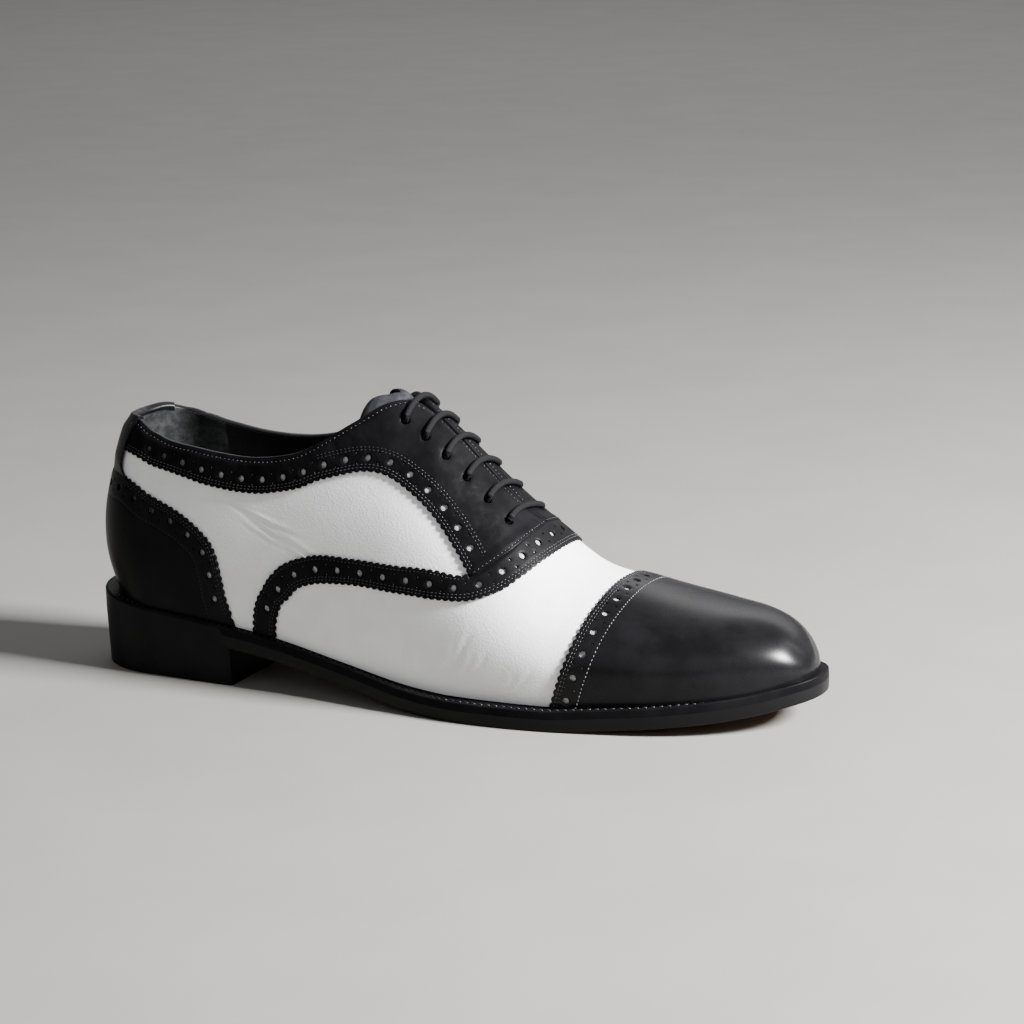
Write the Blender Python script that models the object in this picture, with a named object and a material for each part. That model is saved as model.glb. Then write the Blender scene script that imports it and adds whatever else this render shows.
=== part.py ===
# A man's spectator oxford, the right shoe, in metres: toe along +x, inner side of the foot towards +y.
# Every leather piece is cut from one function, last_point, which gives the surface of the last.
# The pieces are made with the back of the heel at x = 0, then moved so that the origin is the middle of the
# heel's underside.
import math

import bmesh
import bpy
import numpy as np
from mathutils import Matrix, Vector

for old in list(bpy.data.objects):
    bpy.data.objects.remove(old, do_unlink=True)

# Driving sizes of the last and the sole
shoe_length = 0.3005      # sole, back of the heel to the toe
ball_width = 0.0960       # sole across the ball of the foot
instep_height = 0.1120    # ridge of the upper above its feather line, at the instep
heel_height = 0.0225      # underside of the sole at the back of the heel
toe_spring = 0.0115       # underside of the sole at the toe
outsole_thick = 0.0048
welt_thick = 0.0032
welt_reach = 0.0140       # how far the welt runs in under the upper
heel_length = 0.0700      # back of the heel to its breast
heel_taper = 0.0008       # the heel block is this much smaller at the floor, each way
feather_inset = 0.0050    # the upper starts this far inside the sole edge at the heel
tip_gap = 0.0045          # and this far behind it at the toe
heel_radius = 0.0325      # round end of the heel
toe_radius = 0.0300       # round end of the toe

# Leather, laces and the clearances between pieces
wall = 0.0022             # upper leather and lining together
overlay_thick = 0.0011
seat_gap = 0.0003         # between pieces that lie on one another
overlay_gap = 0.0005      # under the overlays
seam_gap = 0.0004         # between the edges of two overlays
insole_thick = 0.0025
tongue_thick = 0.0020
tongue_gap = 0.0012       # under the eyelet facings
lace_radius = 0.0014
eyelet_radius = 0.0019
eyelet_count = 6
first_eyelet = 0.6065     # station of the lowest eyelet
last_eyelet = 0.4817      # and of the top one
eyelet_around = 0.193     # eyelets from the ridge, share of half the girth

edge_height = outsole_thick + welt_thick

# Outline of the sole. Widths are shares of the ball width, the last two columns of heel height and toe spring.
sole_rows = [
    # station, lateral, medial, heel, spring
    (0.112, 0.302, 0.300, 0.820, 0.00),
    (0.20, 0.332, 0.325, 0.715, 0.00),
    (0.30, 0.355, 0.320, 0.545, 0.00),
    (0.40, 0.388, 0.305, 0.290, 0.00),
    (0.50, 0.448, 0.350, 0.055, 0.00),
    (0.60, 0.487, 0.440, -0.02, 0.00),
    (0.68, 0.478, 0.510, -0.02, 0.02),
    (0.76, 0.438, 0.528, 0.00, 0.13),
    (0.84, 0.385, 0.495, 0.00, 0.31),
    (0.92, 0.328, 0.415, 0.00, 0.57),
    (1.00, 0.270, 0.320, 0.00, 1.00)]

# Sections of the upper. Widths are shares of the ball width, heights of the instep height.
upper_rows = [
    # station, lateral, medial, widest, ridge, roundness
    (0.112, 0.282, 0.280, 0.185, 0.860, 2.00),
    (0.20, 0.308, 0.298, 0.175, 0.960, 2.00),
    (0.30, 0.331, 0.300, 0.160, 1.020, 1.90),
    (0.40, 0.364, 0.302, 0.145, 0.995, 1.85),
    (0.50, 0.403, 0.328, 0.130, 0.875, 1.85),
    (0.60, 0.435, 0.392, 0.115, 0.620, 1.85),
    (0.68, 0.433, 0.446, 0.100, 0.407, 1.95),
    (0.76, 0.400, 0.475, 0.090, 0.320, 2.10),
    (0.84, 0.354, 0.448, 0.080, 0.270, 2.20),
    (0.92, 0.307, 0.375, 0.070, 0.232, 2.25),
    (1.00, 0.260, 0.292, 0.060, 0.205, 2.25)]
back_radius = 0.0300      # the back seam stands this far behind the centre of the round heel
back_widest = 0.196       # and these shares of the instep height give its curve
back_ridge = 0.760

# Seams, as stations round the shoe and heights up the section: 0 is the feather line, 1 the ridge
top_rows = [
    # station, height of the topline, then of the edge of the throat
    (0.000, 0.640), (0.060, 0.630), (0.125, 0.602), (0.193, 0.534), (0.230, 0.505), (0.265, 0.495),
    (0.300, 0.500), (0.333, 0.519), (0.361, 0.547), (0.391, 0.600), (0.420, 0.669), (0.438, 0.725),
    (0.455, 0.794), (0.468, 0.850), (0.480, 0.905), (0.490, 0.945), (0.502, 0.966), (0.530, 0.974),
    (0.570, 0.982), (0.600, 0.989)]
throat_station = 0.612

facing_rows = [
    # gimped lower edge: station, height, then the topline or throat edge beside it
    (0.106, 0.492, 0.128, 0.600), (0.134, 0.479, 0.155, 0.575), (0.177, 0.450, 0.190, 0.537),
    (0.205, 0.432, 0.212, 0.518), (0.232, 0.418, 0.236, 0.502), (0.258, 0.414, 0.260, 0.496),
    (0.284, 0.416, 0.285, 0.497), (0.310, 0.425, 0.310, 0.504), (0.335, 0.442, 0.336, 0.521),
    (0.363, 0.468, 0.361, 0.547), (0.385, 0.499, 0.385, 0.589), (0.413, 0.535, 0.412, 0.650),
    (0.443, 0.574, 0.438, 0.725), (0.468, 0.597, 0.460, 0.815), (0.491, 0.601, 0.482, 0.912),
    (0.513, 0.596, 0.502, 0.966), (0.533, 0.583, 0.525, 0.973), (0.553, 0.552, 0.548, 0.978),
    (0.571, 0.512, 0.570, 0.982), (0.597, 0.585, 0.590, 0.987), (0.6105, 0.675, 0.602, 0.9895),
    (0.6195, 0.795, 0.6135, 0.992), (0.6245, 0.940, 0.6240, 0.992)]

strip_rows = [
    # rear edge of the strip: station, height, then its front edge
    (0.296, 0.000, 0.328, 0.000), (0.3016, 0.134, 0.332, 0.108), (0.315, 0.233, 0.342, 0.195),
    (0.338, 0.290, 0.358, 0.247), (0.377, 0.338, 0.380, 0.278), (0.434, 0.375, 0.434, 0.317),
    (0.499, 0.417, 0.500, 0.352), (0.545, 0.462, 0.548, 0.386), (0.575, 0.500, 0.587, 0.433),
    (0.601, 0.574, 0.617, 0.515), (0.615, 0.662, 0.637, 0.638), (0.624, 0.784, 0.649, 0.790),
    (0.6285, 0.900, 0.6535, 0.900), (0.630, 1.000, 0.655, 1.000)]

counter_rows = [
    # gimped edge of the counter: station, height, then its foot on the feather line
    (0.000, 0.432, 0.000), (0.054, 0.430, 0.052), (0.108, 0.421, 0.100), (0.141, 0.400, 0.130),
    (0.168, 0.375, 0.158), (0.193, 0.353, 0.183), (0.214, 0.331, 0.205), (0.232, 0.308, 0.224),
    (0.245, 0.286, 0.240), (0.253, 0.255, 0.250), (0.2575, 0.215, 0.257), (0.262, 0.130, 0.264),
    (0.269, 0.050, 0.2715)]

strap_rows = [
    # height, then how far the back strap reaches round to each side
    (0.440, 0.1060), (0.470, 0.0985), (0.500, 0.0985), (0.550, 0.1080), (0.603, 0.1230)]

cap_rows = [
    # height, then the station of the toe cap's seam
    (0.000, 0.6835), (0.100, 0.6890), (0.220, 0.6950), (0.340, 0.7024), (0.466, 0.7090),
    (0.604, 0.7145), (0.720, 0.7180), (0.850, 0.7200), (1.000, 0.7205)]

tongue_top = 0.452        # stations of the tongue's ends
tongue_foot = 0.640
tongue_half = 0.235       # share of half the girth, each side of the ridge


def curve_through(xs, ys, x):
    # cubic through the points, with slopes taken from the neighbours on both sides
    xs = np.asarray(xs, float)
    ys = np.asarray(ys, float)
    slopes = np.gradient(ys, xs)
    x = np.clip(x, xs[0], xs[-1])
    i = np.clip(np.searchsorted(xs, x) - 1, 0, len(xs) - 2)
    h = xs[i + 1] - xs[i]
    t = (x - xs[i]) / h
    rise = (1 + 2 * t) * (1 - t) ** 2 * ys[i] + t * t * (3 - 2 * t) * ys[i + 1]
    return rise + t * (1 - t) * h * ((1 - t) * slopes[i] - t * slopes[i + 1])


def column(rows, index, x):
    # one column of a table whose first column is a station along the length
    return curve_through([row[0] * shoe_length for row in rows], [row[index] for row in rows], x)


def round_off(x, start, end, power):
    # 1 as far as start, then a superellipse that falls to 0 at end
    t = np.clip((x - start) / (end - start), 0, 1)
    return np.clip(1 - t ** power, 0, 1) ** (1 / power)


def sole_bottom(x):
    # height of the underside: pitch of the heel, flat tread, toe spring
    rise = heel_height * column(sole_rows, 3, x) + toe_spring * column(sole_rows, 4, x)
    first = sole_rows[0][0] * shoe_length
    seat = heel_height * (1 - sole_rows[0][3]) * np.clip((first - x) / first, 0, 1)
    return np.maximum(rise + seat, 0)


def sole_half(x, side):
    # half width of the sole on one side, round at the heel and at the toe
    share = column(sole_rows, 1 if side < 0 else 2, np.maximum(x, heel_radius))
    heel = np.sqrt(np.clip(1 - np.clip(1 - x / heel_radius, 0, 1) ** 2, 0, 1))
    return ball_width * share * heel * round_off(x, 0.80 * shoe_length, shoe_length, 2.3)


heel_arc = heel_radius * math.pi / 2
toe_tip = shoe_length - tip_gap
toe_start = toe_tip - toe_radius
girth_length = heel_arc + (toe_start - heel_radius) + toe_radius * math.pi / 2
widest_at = 0.22          # share of each half section that lies below its widest point


def half_section(around, half, ridge_half, inset, widest, ridge, power):
    # from the feather out to the widest point, then a superellipse up to the ridge
    v = 1 - np.abs(around)
    low = np.clip(v / widest_at, 0, 1)
    turn = np.clip((v - widest_at) / (1 - widest_at), 0, 1) * math.pi / 2
    out = half - inset * (1 - low) ** 2 - ridge_half * (1 - np.clip(np.cos(turn), 0, 1) ** (2 / power))
    return out, np.where(v < widest_at, widest * low, widest + (ridge - widest) * np.sin(turn) ** (2 / power))


def last_point(station, around):
    # station runs 0..1 from the back seam to the tip of the toe
    # around is -1 at the lateral feather line, 0 on the ridge and 1 at the medial feather line
    station, around = np.broadcast_arrays(np.asarray(station, float), np.asarray(around, float))
    run = station * girth_length
    turn = np.minimum(run / heel_radius, math.pi / 2)
    tip_turn = np.clip((run - heel_arc - (toe_start - heel_radius)) / toe_radius, 0, math.pi / 2)
    straight = heel_radius + np.maximum(run - heel_arc, 0)
    x = np.where(tip_turn > 0, toe_start + toe_radius * np.sin(tip_turn), straight)
    side = np.where(around < 0, -1.0, 1.0)
    narrow = round_off(x, 0.80 * shoe_length, toe_tip, 2.3)
    lower = round_off(x, 0.88 * shoe_length, toe_tip, 2.4)
    lateral = ball_width * column(upper_rows, 1, x)
    medial = ball_width * column(upper_rows, 2, x)
    ridge_y = 0.5 * (medial - lateral) * narrow
    half = np.where(side < 0, lateral, medial) * narrow
    inset = feather_inset * (0.6 + 0.4 * np.cos(2 * turn)) * narrow
    widest = instep_height * column(upper_rows, 3, x) * lower
    ridge = instep_height * column(upper_rows, 4, x) * lower
    out, rise = half_section(around, half, half - side * ridge_y, inset, widest, ridge, column(upper_rows, 5, x))
    back_out, back_rise = half_section(around, back_radius, back_radius, feather_inset,
                                       instep_height * back_widest, instep_height * back_ridge, 2.0)
    share = np.sin(turn) ** 2
    out = out * share + back_out * (1 - share)
    rise = rise * share + back_rise * (1 - share)
    px = np.where(turn < math.pi / 2, heel_radius - out * np.cos(turn), x)
    py = side * out * np.sin(turn)
    return np.stack([px, py, rise + sole_bottom(px) + edge_height + seat_gap], -1)


def last_offset(station, around, out):
    # the last's surface moved out along its normal, straight ahead at the very tip
    station, around, out = np.broadcast_arrays(*(np.asarray(a, float) for a in (station, around, out)))
    s = np.minimum(station, 0.997)
    step = 0.0015
    along = last_point(s + step, around) - last_point(s - step, around)
    edge = np.clip(around, -1 + 0.02, 1 - 0.02)
    across = last_point(s, edge + 0.02) - last_point(s, edge - 0.02)
    normal = np.cross(along, across)
    normal /= np.linalg.norm(normal, axis=-1, keepdims=True) + 1e-12
    tip = np.clip((station - 0.975) / 0.025, 0, 1)[..., None] ** 2
    normal = normal * (1 - tip) + np.array([1.0, 0, 0]) * tip
    normal /= np.linalg.norm(normal, axis=-1, keepdims=True)
    moved = last_point(station, around) + normal * out[..., None]
    seat = sole_bottom(moved[..., 0]) + edge_height + seat_gap
    moved[..., 2] = np.maximum(moved[..., 2], seat)
    return moved


def plain_material(name, color, roughness, metallic=0.0):
    material = bpy.data.materials.new(name)
    material.use_nodes = True
    shader = material.node_tree.nodes["Principled BSDF"]
    shader.inputs["Base Color"].default_value = (*color, 1)
    shader.inputs["Roughness"].default_value = roughness
    shader.inputs["Metallic"].default_value = metallic
    material.diffuse_color = (*color, 1)
    return material


def add_piece(name, points, faces, color, roughness, smooth=True):
    # a closed body from points and faces: doubles merged, flat spots dissolved, normals outward
    mesh = bpy.data.meshes.new(name)
    mesh.from_pydata([tuple(p) for p in points], [], faces)
    shape = bmesh.new()
    shape.from_mesh(mesh)
    bmesh.ops.remove_doubles(shape, verts=shape.verts, dist=0.00002)
    bmesh.ops.dissolve_degenerate(shape, edges=shape.edges, dist=0.00001)
    bmesh.ops.recalc_face_normals(shape, faces=shape.faces)
    if shape.calc_volume(signed=True) < 0:
        bmesh.ops.reverse_faces(shape, faces=shape.faces)
    shape.to_mesh(mesh)
    shape.free()
    mesh.materials.append(plain_material(name + "_material", color, roughness))
    if smooth:
        mesh.shade_smooth()
    piece = bpy.data.objects.new(name, mesh)
    bpy.context.scene.collection.objects.link(piece)
    return piece


def grid_faces(ids, flip=False):
    # quads over a grid of point numbers
    quads = np.stack([ids[:-1, :-1], ids[1:, :-1], ids[1:, 1:], ids[:-1, 1:]], -1).reshape(-1, 4)
    return [tuple(q[::-1]) if flip else tuple(q) for q in quads.tolist()]


def slab(name, top, bottom, color, roughness, smooth=True):
    # closed body between two grids of the same size
    rows, cols = top.shape[:2]
    ids = np.arange(rows * cols).reshape(rows, cols)
    under = ids + rows * cols
    faces = grid_faces(ids) + grid_faces(under, True)
    ring = np.concatenate([ids[0, :-1], ids[:-1, -1], ids[-1, :0:-1], ids[:0:-1, 0]])
    after = np.roll(ring, -1)
    faces += [(a, b, b + rows * cols, a + rows * cols) for a, b in zip(after.tolist(), ring.tolist())]
    points = np.concatenate([top.reshape(-1, 3), bottom.reshape(-1, 3)])
    return add_piece(name, points, faces, color, roughness, smooth)


def overlay(name, station, around, color, roughness):
    # a piece of leather over the upper, given by a grid of stations and around values
    low = last_offset(station, around, overlay_gap)
    high = last_offset(station, around, overlay_gap + overlay_thick)
    return slab(name, high, low, color, roughness)


def resample(rows, count):
    # a table of paired edge points taken at even steps along its rows
    table = np.array(rows)
    middle = 0.5 * (table[:, :2] + table[:, -2:]) if table.shape[1] == 4 else table[:, :2]
    run = np.append(0, np.cumsum(np.hypot(np.diff(middle[:, 0]) * girth_length,
                                          np.diff(middle[:, 1]) * instep_height)))
    t = np.linspace(0, run[-1], count)
    return np.stack([curve_through(run, table[:, k], t) for k in range(table.shape[1])], -1)


def stations_along(count):
    # close together round the heel and the toe, wider on the straight sides
    even = np.linspace(0, 1, count)
    return even + 0.035 * np.sin(2 * math.pi * even) * -1


black = (0.012, 0.012, 0.013)
white = (0.78, 0.76, 0.72)
tan = (0.32, 0.17, 0.08)


# Upper: one hollow wall, open at the collar, down the throat and underneath
def build_upper():
    count = 58
    rows = 13
    station = np.sort(np.append(stations_along(count - 1), throat_station))
    i_throat = int(np.argmin(np.abs(station - throat_station)))
    tops = curve_through([r[0] for r in top_rows], [r[1] for r in top_rows], station)
    reach = np.clip((station - top_rows[-1][0]) / (throat_station - top_rows[-1][0]), 0, 1)
    tops = np.where(station > top_rows[-1][0], tops + (1 - tops) * reach, tops)
    tops = np.where(np.arange(count) >= i_throat, 1.0, tops)
    climb = np.linspace(0, 1, rows)
    points = []
    faces = []
    grids = {}
    total = 0
    for side in (-1, 1):
        around = side * np.maximum(1 - tops[:, None] * climb[None, :], 0)
        around = np.where(np.abs(around) < 1e-9, side * 1e-9, around)
        for out in (0.0, -wall):
            grid = last_offset(station[:, None], around, out)
            ids = np.arange(grid.size // 3).reshape(count, rows) + total
            total += ids.size
            grid[0, :, 1] = 0
            tip = last_point(1.0, side * 1.0) + np.array([out, 0, 0])
            grid[-1] = tip
            if i_throat < count:
                grid[i_throat:, -1, 1] = last_point(station[i_throat:], 0.0)[:, 1]
            points.append(grid.reshape(-1, 3))
            grids[side, out] = ids
            faces += grid_faces(ids, flip=(side * (1 if out == 0 else -1)) < 0)
        outer, inner = grids[side, 0.0], grids[side, -wall]
        for j, last_column in ((0, count), (rows - 1, i_throat + 1)):
            for i in range(last_column - 1):
                faces.append((outer[i, j], outer[i + 1, j], inner[i + 1, j], inner[i, j]))
    faces = [tuple(int(k) for k in f) for f in faces]
    return add_piece("upper", np.concatenate(points), faces, white, 0.42)


# Overlays, each cut between two seams
def build_cap():
    v = np.concatenate([np.linspace(0, 1, 10), np.linspace(1, 0, 10)[1:]])
    side = np.where(np.arange(19) < 9, -1.0, 1.0)
    around = side * (1 - v)
    around[9] = 0.0
    seam = curve_through([r[0] for r in cap_rows], [r[1] for r in cap_rows], v)
    run = np.linspace(0, 1, 15)[:, None] ** 0.9
    station = seam[None, :] + (1 - seam[None, :]) * run
    around = np.broadcast_to(around, station.shape)
    low = last_offset(station, around, overlay_gap)
    high = last_offset(station, around, overlay_gap + overlay_thick)
    for grid, out in ((low, overlay_gap), (high, overlay_gap + overlay_thick)):
        grid[-1] = last_point(1.0, 1.0) + np.array([out, 0, 0])
    return slab("toe_cap", high, low, black, 0.22)


def build_counter():
    table = resample([(r[0], r[1], r[2], 0.0) for r in counter_rows], 15)
    table[0, 0] = table[0, 2] = 0.0
    climb = np.linspace(0, 1, 6)[None, :]
    station = table[:, 2:3] * (1 - climb) + table[:, 0:1] * climb
    height = table[:, 3:4] * (1 - climb) + table[:, 1:2] * climb
    station = np.concatenate([-station[:0:-1], station])
    height = np.concatenate([height[:0:-1], height])
    return overlay("counter", np.abs(station), np.sign(station + 1e-9) * (1 - height), black, 0.38)


def build_strap():
    height = np.linspace(strap_rows[0][0], strap_rows[-1][0], 7)
    reach = curve_through([r[0] for r in strap_rows], [r[1] for r in strap_rows], height)
    spread = np.linspace(-1, 1, 11)
    station = reach[:, None] * spread[None, :]
    back_top = np.interp(np.abs(station[-1]), [r[0] for r in top_rows], [r[1] for r in top_rows])
    low = curve_through([r[0] for r in counter_rows], [r[1] for r in counter_rows], np.abs(station[0])) + 0.006
    share = ((height - height[0]) / (height[-1] - height[0]))[:, None]
    rows = low[None, :] * (1 - share) + back_top[None, :] * share
    side = np.where(station < 0, -1.0, 1.0)
    return overlay("back_strap", np.abs(station), side * (1 - rows), black, 0.36)


def build_facing(name, side):
    table = resample(facing_rows, 33)
    climb = np.linspace(0, 1, 6)[None, :]
    station = table[:, 0:1] * (1 - climb) + table[:, 2:3] * climb
    height = table[:, 1:2] * (1 - climb) + table[:, 3:4] * climb
    return overlay(name, station, side * (1 - height), black, 0.33)


def build_strip():
    table = resample(strip_rows, 25)
    climb = np.linspace(0, 1, 4)[None, :]
    station = table[:, 0:1] * (1 - climb) + table[:, 2:3] * climb
    height = table[:, 1:2] * (1 - climb) + table[:, 3:4] * climb
    station = np.concatenate([station, station[-2::-1]])
    around = np.concatenate([height - 1, (1 - height)[-2::-1]])
    return overlay("vamp_strip", station, around, black, 0.36)


def build_tongue():
    station = np.linspace(tongue_top, tongue_foot, 16)[:, None]
    spread = np.linspace(-1, 1, 9)[None, :]
    half = tongue_half * (1 - 0.35 * ((station - tongue_top) / (tongue_foot - tongue_top)) ** 2)
    corner = np.clip((tongue_top + 0.012 - station) / 0.012, 0, 1)
    around = half * spread * (1 - 0.35 * corner)
    top = last_offset(station, around, -wall - tongue_gap)
    bottom = last_offset(station, around, -wall - tongue_gap - tongue_thick)
    return slab("tongue", top, bottom, (0.035, 0.034, 0.035), 0.6)


# Sole: outsole, welt and heel block, with the insole inside the upper
def outline_points(count):
    # the sole's outline as matching lateral and medial points
    x = shoe_length * (1 - np.cos(np.linspace(0, math.pi, count))) / 2
    return x, -sole_half(x, -1), sole_half(x, 1)


def build_outsole():
    x, lateral, medial = outline_points(44)
    across = np.linspace(0, 1, 3)[None, :]
    y = lateral[:, None] * (1 - across) + medial[:, None] * across
    xx = np.broadcast_to(x[:, None], y.shape)
    bottom = np.stack([xx, y, sole_bottom(xx)], -1)
    top = bottom + np.array([0, 0, outsole_thick])
    return slab("outsole", top, bottom, (0.05, 0.03, 0.022), 0.35)


def closed_outline(count):
    x, lateral, medial = outline_points(count)
    loop = np.concatenate([np.stack([x, lateral], -1), np.stack([x, medial], -1)[-2:0:-1]])
    return loop


def inset_loop(loop, inset):
    # a closed outline moved in along its own normals
    along = np.roll(loop, -1, 0) - np.roll(loop, 1, 0)
    normal = np.stack([-along[:, 1], along[:, 0]], -1)
    normal /= np.linalg.norm(normal, axis=1, keepdims=True)
    return loop + normal * inset


def build_welt():
    loop = closed_outline(40)
    rings = [(0.0, outsole_thick + seat_gap), (0.0, edge_height), (welt_reach, edge_height),
             (welt_reach, outsole_thick + seat_gap), (0.0, outsole_thick + seat_gap)]
    layers = []
    for inset, rise in rings[:4]:
        ring = inset_loop(loop, inset)
        layers.append(np.column_stack([ring, sole_bottom(ring[:, 0]) + rise]))
    points = np.concatenate(layers)
    n = len(loop)
    faces = []
    for k in range(4):
        for i in range(n):
            j = (i + 1) % n
            m = (k + 1) % 4
            faces.append((k * n + i, k * n + j, m * n + j, m * n + i))
    return add_piece("welt", points, faces, black, 0.34)


def build_heel():
    x = heel_length * np.linspace(0, 1, 17) ** 1.7
    across = np.linspace(0, 1, 3)[None, :]
    y = -sole_half(x, -1)[:, None] * (1 - across) + sole_half(x, 1)[:, None] * across
    xx = np.broadcast_to(x[:, None], y.shape)
    top = np.stack([xx, y, sole_bottom(xx) - seat_gap], -1)
    shrink = 1 - heel_taper / heel_radius
    bottom = np.stack([heel_taper + xx * (1 - heel_taper / heel_length), y * shrink, np.zeros_like(y)], -1)
    return slab("heel_block", top, bottom, black, 0.34)


def build_insole():
    station = np.linspace(0, 1, 40)
    station = station + 0.02 * np.sin(2 * math.pi * station) * -1
    feather = [last_point(station, side * 1.0)[:, :2] for side in (-1, 1)]
    feather[0][0, 1] = feather[1][0, 1] = 0
    loop = np.concatenate([feather[0], feather[1][-2:0:-1]])
    loop = inset_loop(loop, wall + 0.0016)
    n = len(station)
    lateral = loop[:n]
    medial = np.concatenate([loop[:1], loop[:n - 1:-1], loop[n - 1:n]])
    across = np.linspace(0, 1, 3)[None, :, None]
    flat = lateral[:, None, :] * (1 - across) + medial[:, None, :] * across
    rise = sole_bottom(flat[..., 0]) + edge_height + seat_gap
    bottom = np.concatenate([flat, rise[..., None]], -1)
    return slab("insole", bottom + np.array([0, 0, insole_thick]), bottom, (0.07, 0.055, 0.045), 0.6)


# Lacing: straight bars over the throat, and the eyelet holes under their ends
def eyelet_stations():
    return np.linspace(first_eyelet, last_eyelet, eyelet_count)


def build_bar(number, station):
    lift = overlay_gap + overlay_thick + seat_gap + lace_radius
    spread = np.linspace(-1, 1, 7) * eyelet_around
    path = last_offset(np.full(7, station), spread, lift)
    along = np.gradient(path, axis=0)
    along /= np.linalg.norm(along, axis=1, keepdims=True)
    side = np.cross(along, np.array([0.6, 0, 0.8]))
    side /= np.linalg.norm(side, axis=1, keepdims=True)
    up = np.cross(side, along)
    sides = 7
    turn = np.linspace(0, 2 * math.pi, sides + 1)[:-1]
    ring = (np.cos(turn)[None, :, None] * side[:, None] + np.sin(turn)[None, :, None] * up[:, None]) * lace_radius
    points = (path[:, None] + ring).reshape(-1, 3)
    faces = []
    for i in range(len(path) - 1):
        for k in range(sides):
            m = (k + 1) % sides
            faces.append((i * sides + k, i * sides + m, (i + 1) * sides + m, (i + 1) * sides + k))
    faces += [tuple(range(sides))[::-1], tuple(range(len(points) - sides, len(points)))]
    return add_piece("lace_bar_%d" % number, points, faces, (0.02, 0.02, 0.022), 0.5)


def eyelet_cutters():
    # one rod through each eyelet, square to the leather, kept as a wire in the scene
    shape = bmesh.new()
    for station in eyelet_stations():
        for side in (-1, 1):
            inner = Vector(last_offset(station, side * eyelet_around, -wall - 0.002))
            outer = Vector(last_offset(station, side * eyelet_around, 0.004))
            axis = outer - inner
            place = Matrix.Translation((inner + outer) / 2) @ axis.to_track_quat("Z", "Y").to_matrix().to_4x4()
            bmesh.ops.create_cone(shape, cap_ends=True, segments=12, radius1=eyelet_radius,
                                  radius2=eyelet_radius, depth=axis.length, matrix=place)
    mesh = bpy.data.meshes.new("eyelet_cutter")
    shape.to_mesh(mesh)
    shape.free()
    cutter = bpy.data.objects.new("eyelet_cutter", mesh)
    bpy.context.scene.collection.objects.link(cutter)
    cutter.display_type = "WIRE"
    cutter.hide_render = True
    return cutter


def cut(piece, cutter):
    hole = piece.modifiers.new("eyelets", "BOOLEAN")
    hole.operation = "DIFFERENCE"
    hole.solver = "EXACT"
    hole.object = cutter


upper = build_upper()
build_cap()
build_counter()
build_strap()
facings = [build_facing("facing_lateral", -1), build_facing("facing_medial", 1)]
build_strip()
build_tongue()
build_outsole()
build_welt()
build_heel()
build_insole()
for number, station in enumerate(eyelet_stations(), 1):
    build_bar(number, station)
cutter = eyelet_cutters()
for piece in [upper] + facings:
    cut(piece, cutter)

for piece in bpy.context.scene.objects:
    piece.data.transform(Matrix.Translation((-heel_length / 2, 0, 0)))
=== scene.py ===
# Spectator shoe, right foot: the finished leather, stitches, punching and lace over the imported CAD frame.
# Metres. The origin is the middle of the heel's underside, the toe points along +x, the inner side is +y.
import math

import bmesh
import bpy
import numpy as np
from mathutils import Matrix, Vector


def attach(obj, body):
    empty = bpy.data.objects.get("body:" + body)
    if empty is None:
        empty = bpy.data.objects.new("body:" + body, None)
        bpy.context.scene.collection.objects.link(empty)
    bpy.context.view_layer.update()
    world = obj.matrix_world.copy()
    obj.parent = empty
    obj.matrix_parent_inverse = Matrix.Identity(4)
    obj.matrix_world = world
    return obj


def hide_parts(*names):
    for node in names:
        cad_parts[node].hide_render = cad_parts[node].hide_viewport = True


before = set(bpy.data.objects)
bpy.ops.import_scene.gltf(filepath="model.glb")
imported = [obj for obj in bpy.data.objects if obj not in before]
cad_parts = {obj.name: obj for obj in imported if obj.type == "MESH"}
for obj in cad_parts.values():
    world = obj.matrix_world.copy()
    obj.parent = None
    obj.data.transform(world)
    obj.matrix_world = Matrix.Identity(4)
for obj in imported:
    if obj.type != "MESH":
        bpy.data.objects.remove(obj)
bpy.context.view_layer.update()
print("frame loaded:", len(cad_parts), "nodes")

# The last: the same named sizes and tables as the solids were cut from
last = {
    "shoeLength": 0.3005, "ballWidth": 0.0960, "instepHeight": 0.1120, "heelHeight": 0.0225,
    "toeSpring": 0.0115, "outsoleThick": 0.0048, "weltThick": 0.0032, "heelLength": 0.0700,
    "featherInset": 0.0050, "tipGap": 0.0045, "heelRadius": 0.0325, "toeRadius": 0.0300,
    "backRadius": 0.0300, "backWidest": 0.196, "backRidge": 0.760, "widestAt": 0.22, "seatGap": 0.0003}

# station, lateral, medial, share of heel height, share of toe spring
soleRows = [
    (0.112, 0.302, 0.300, 0.820, 0.00), (0.20, 0.332, 0.325, 0.715, 0.00), (0.30, 0.355, 0.320, 0.545, 0.00),
    (0.40, 0.388, 0.305, 0.290, 0.00), (0.50, 0.448, 0.350, 0.055, 0.00), (0.60, 0.487, 0.440, -0.02, 0.00),
    (0.68, 0.478, 0.510, -0.02, 0.02), (0.76, 0.438, 0.528, 0.00, 0.13), (0.84, 0.385, 0.495, 0.00, 0.31),
    (0.92, 0.328, 0.415, 0.00, 0.57), (1.00, 0.270, 0.320, 0.00, 1.00)]

# station, lateral, medial, widest point, ridge, roundness
upperRows = [
    (0.112, 0.282, 0.280, 0.185, 0.860, 2.00), (0.20, 0.308, 0.298, 0.175, 0.960, 2.00),
    (0.30, 0.331, 0.300, 0.160, 1.020, 1.90), (0.40, 0.364, 0.302, 0.145, 0.995, 1.85),
    (0.50, 0.403, 0.328, 0.130, 0.875, 1.85), (0.60, 0.435, 0.392, 0.115, 0.620, 1.85),
    (0.68, 0.433, 0.446, 0.100, 0.407, 1.95), (0.76, 0.400, 0.475, 0.090, 0.320, 2.10),
    (0.84, 0.354, 0.448, 0.080, 0.270, 2.20), (0.92, 0.307, 0.375, 0.070, 0.232, 2.25),
    (1.00, 0.260, 0.292, 0.060, 0.205, 2.25)]

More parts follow.
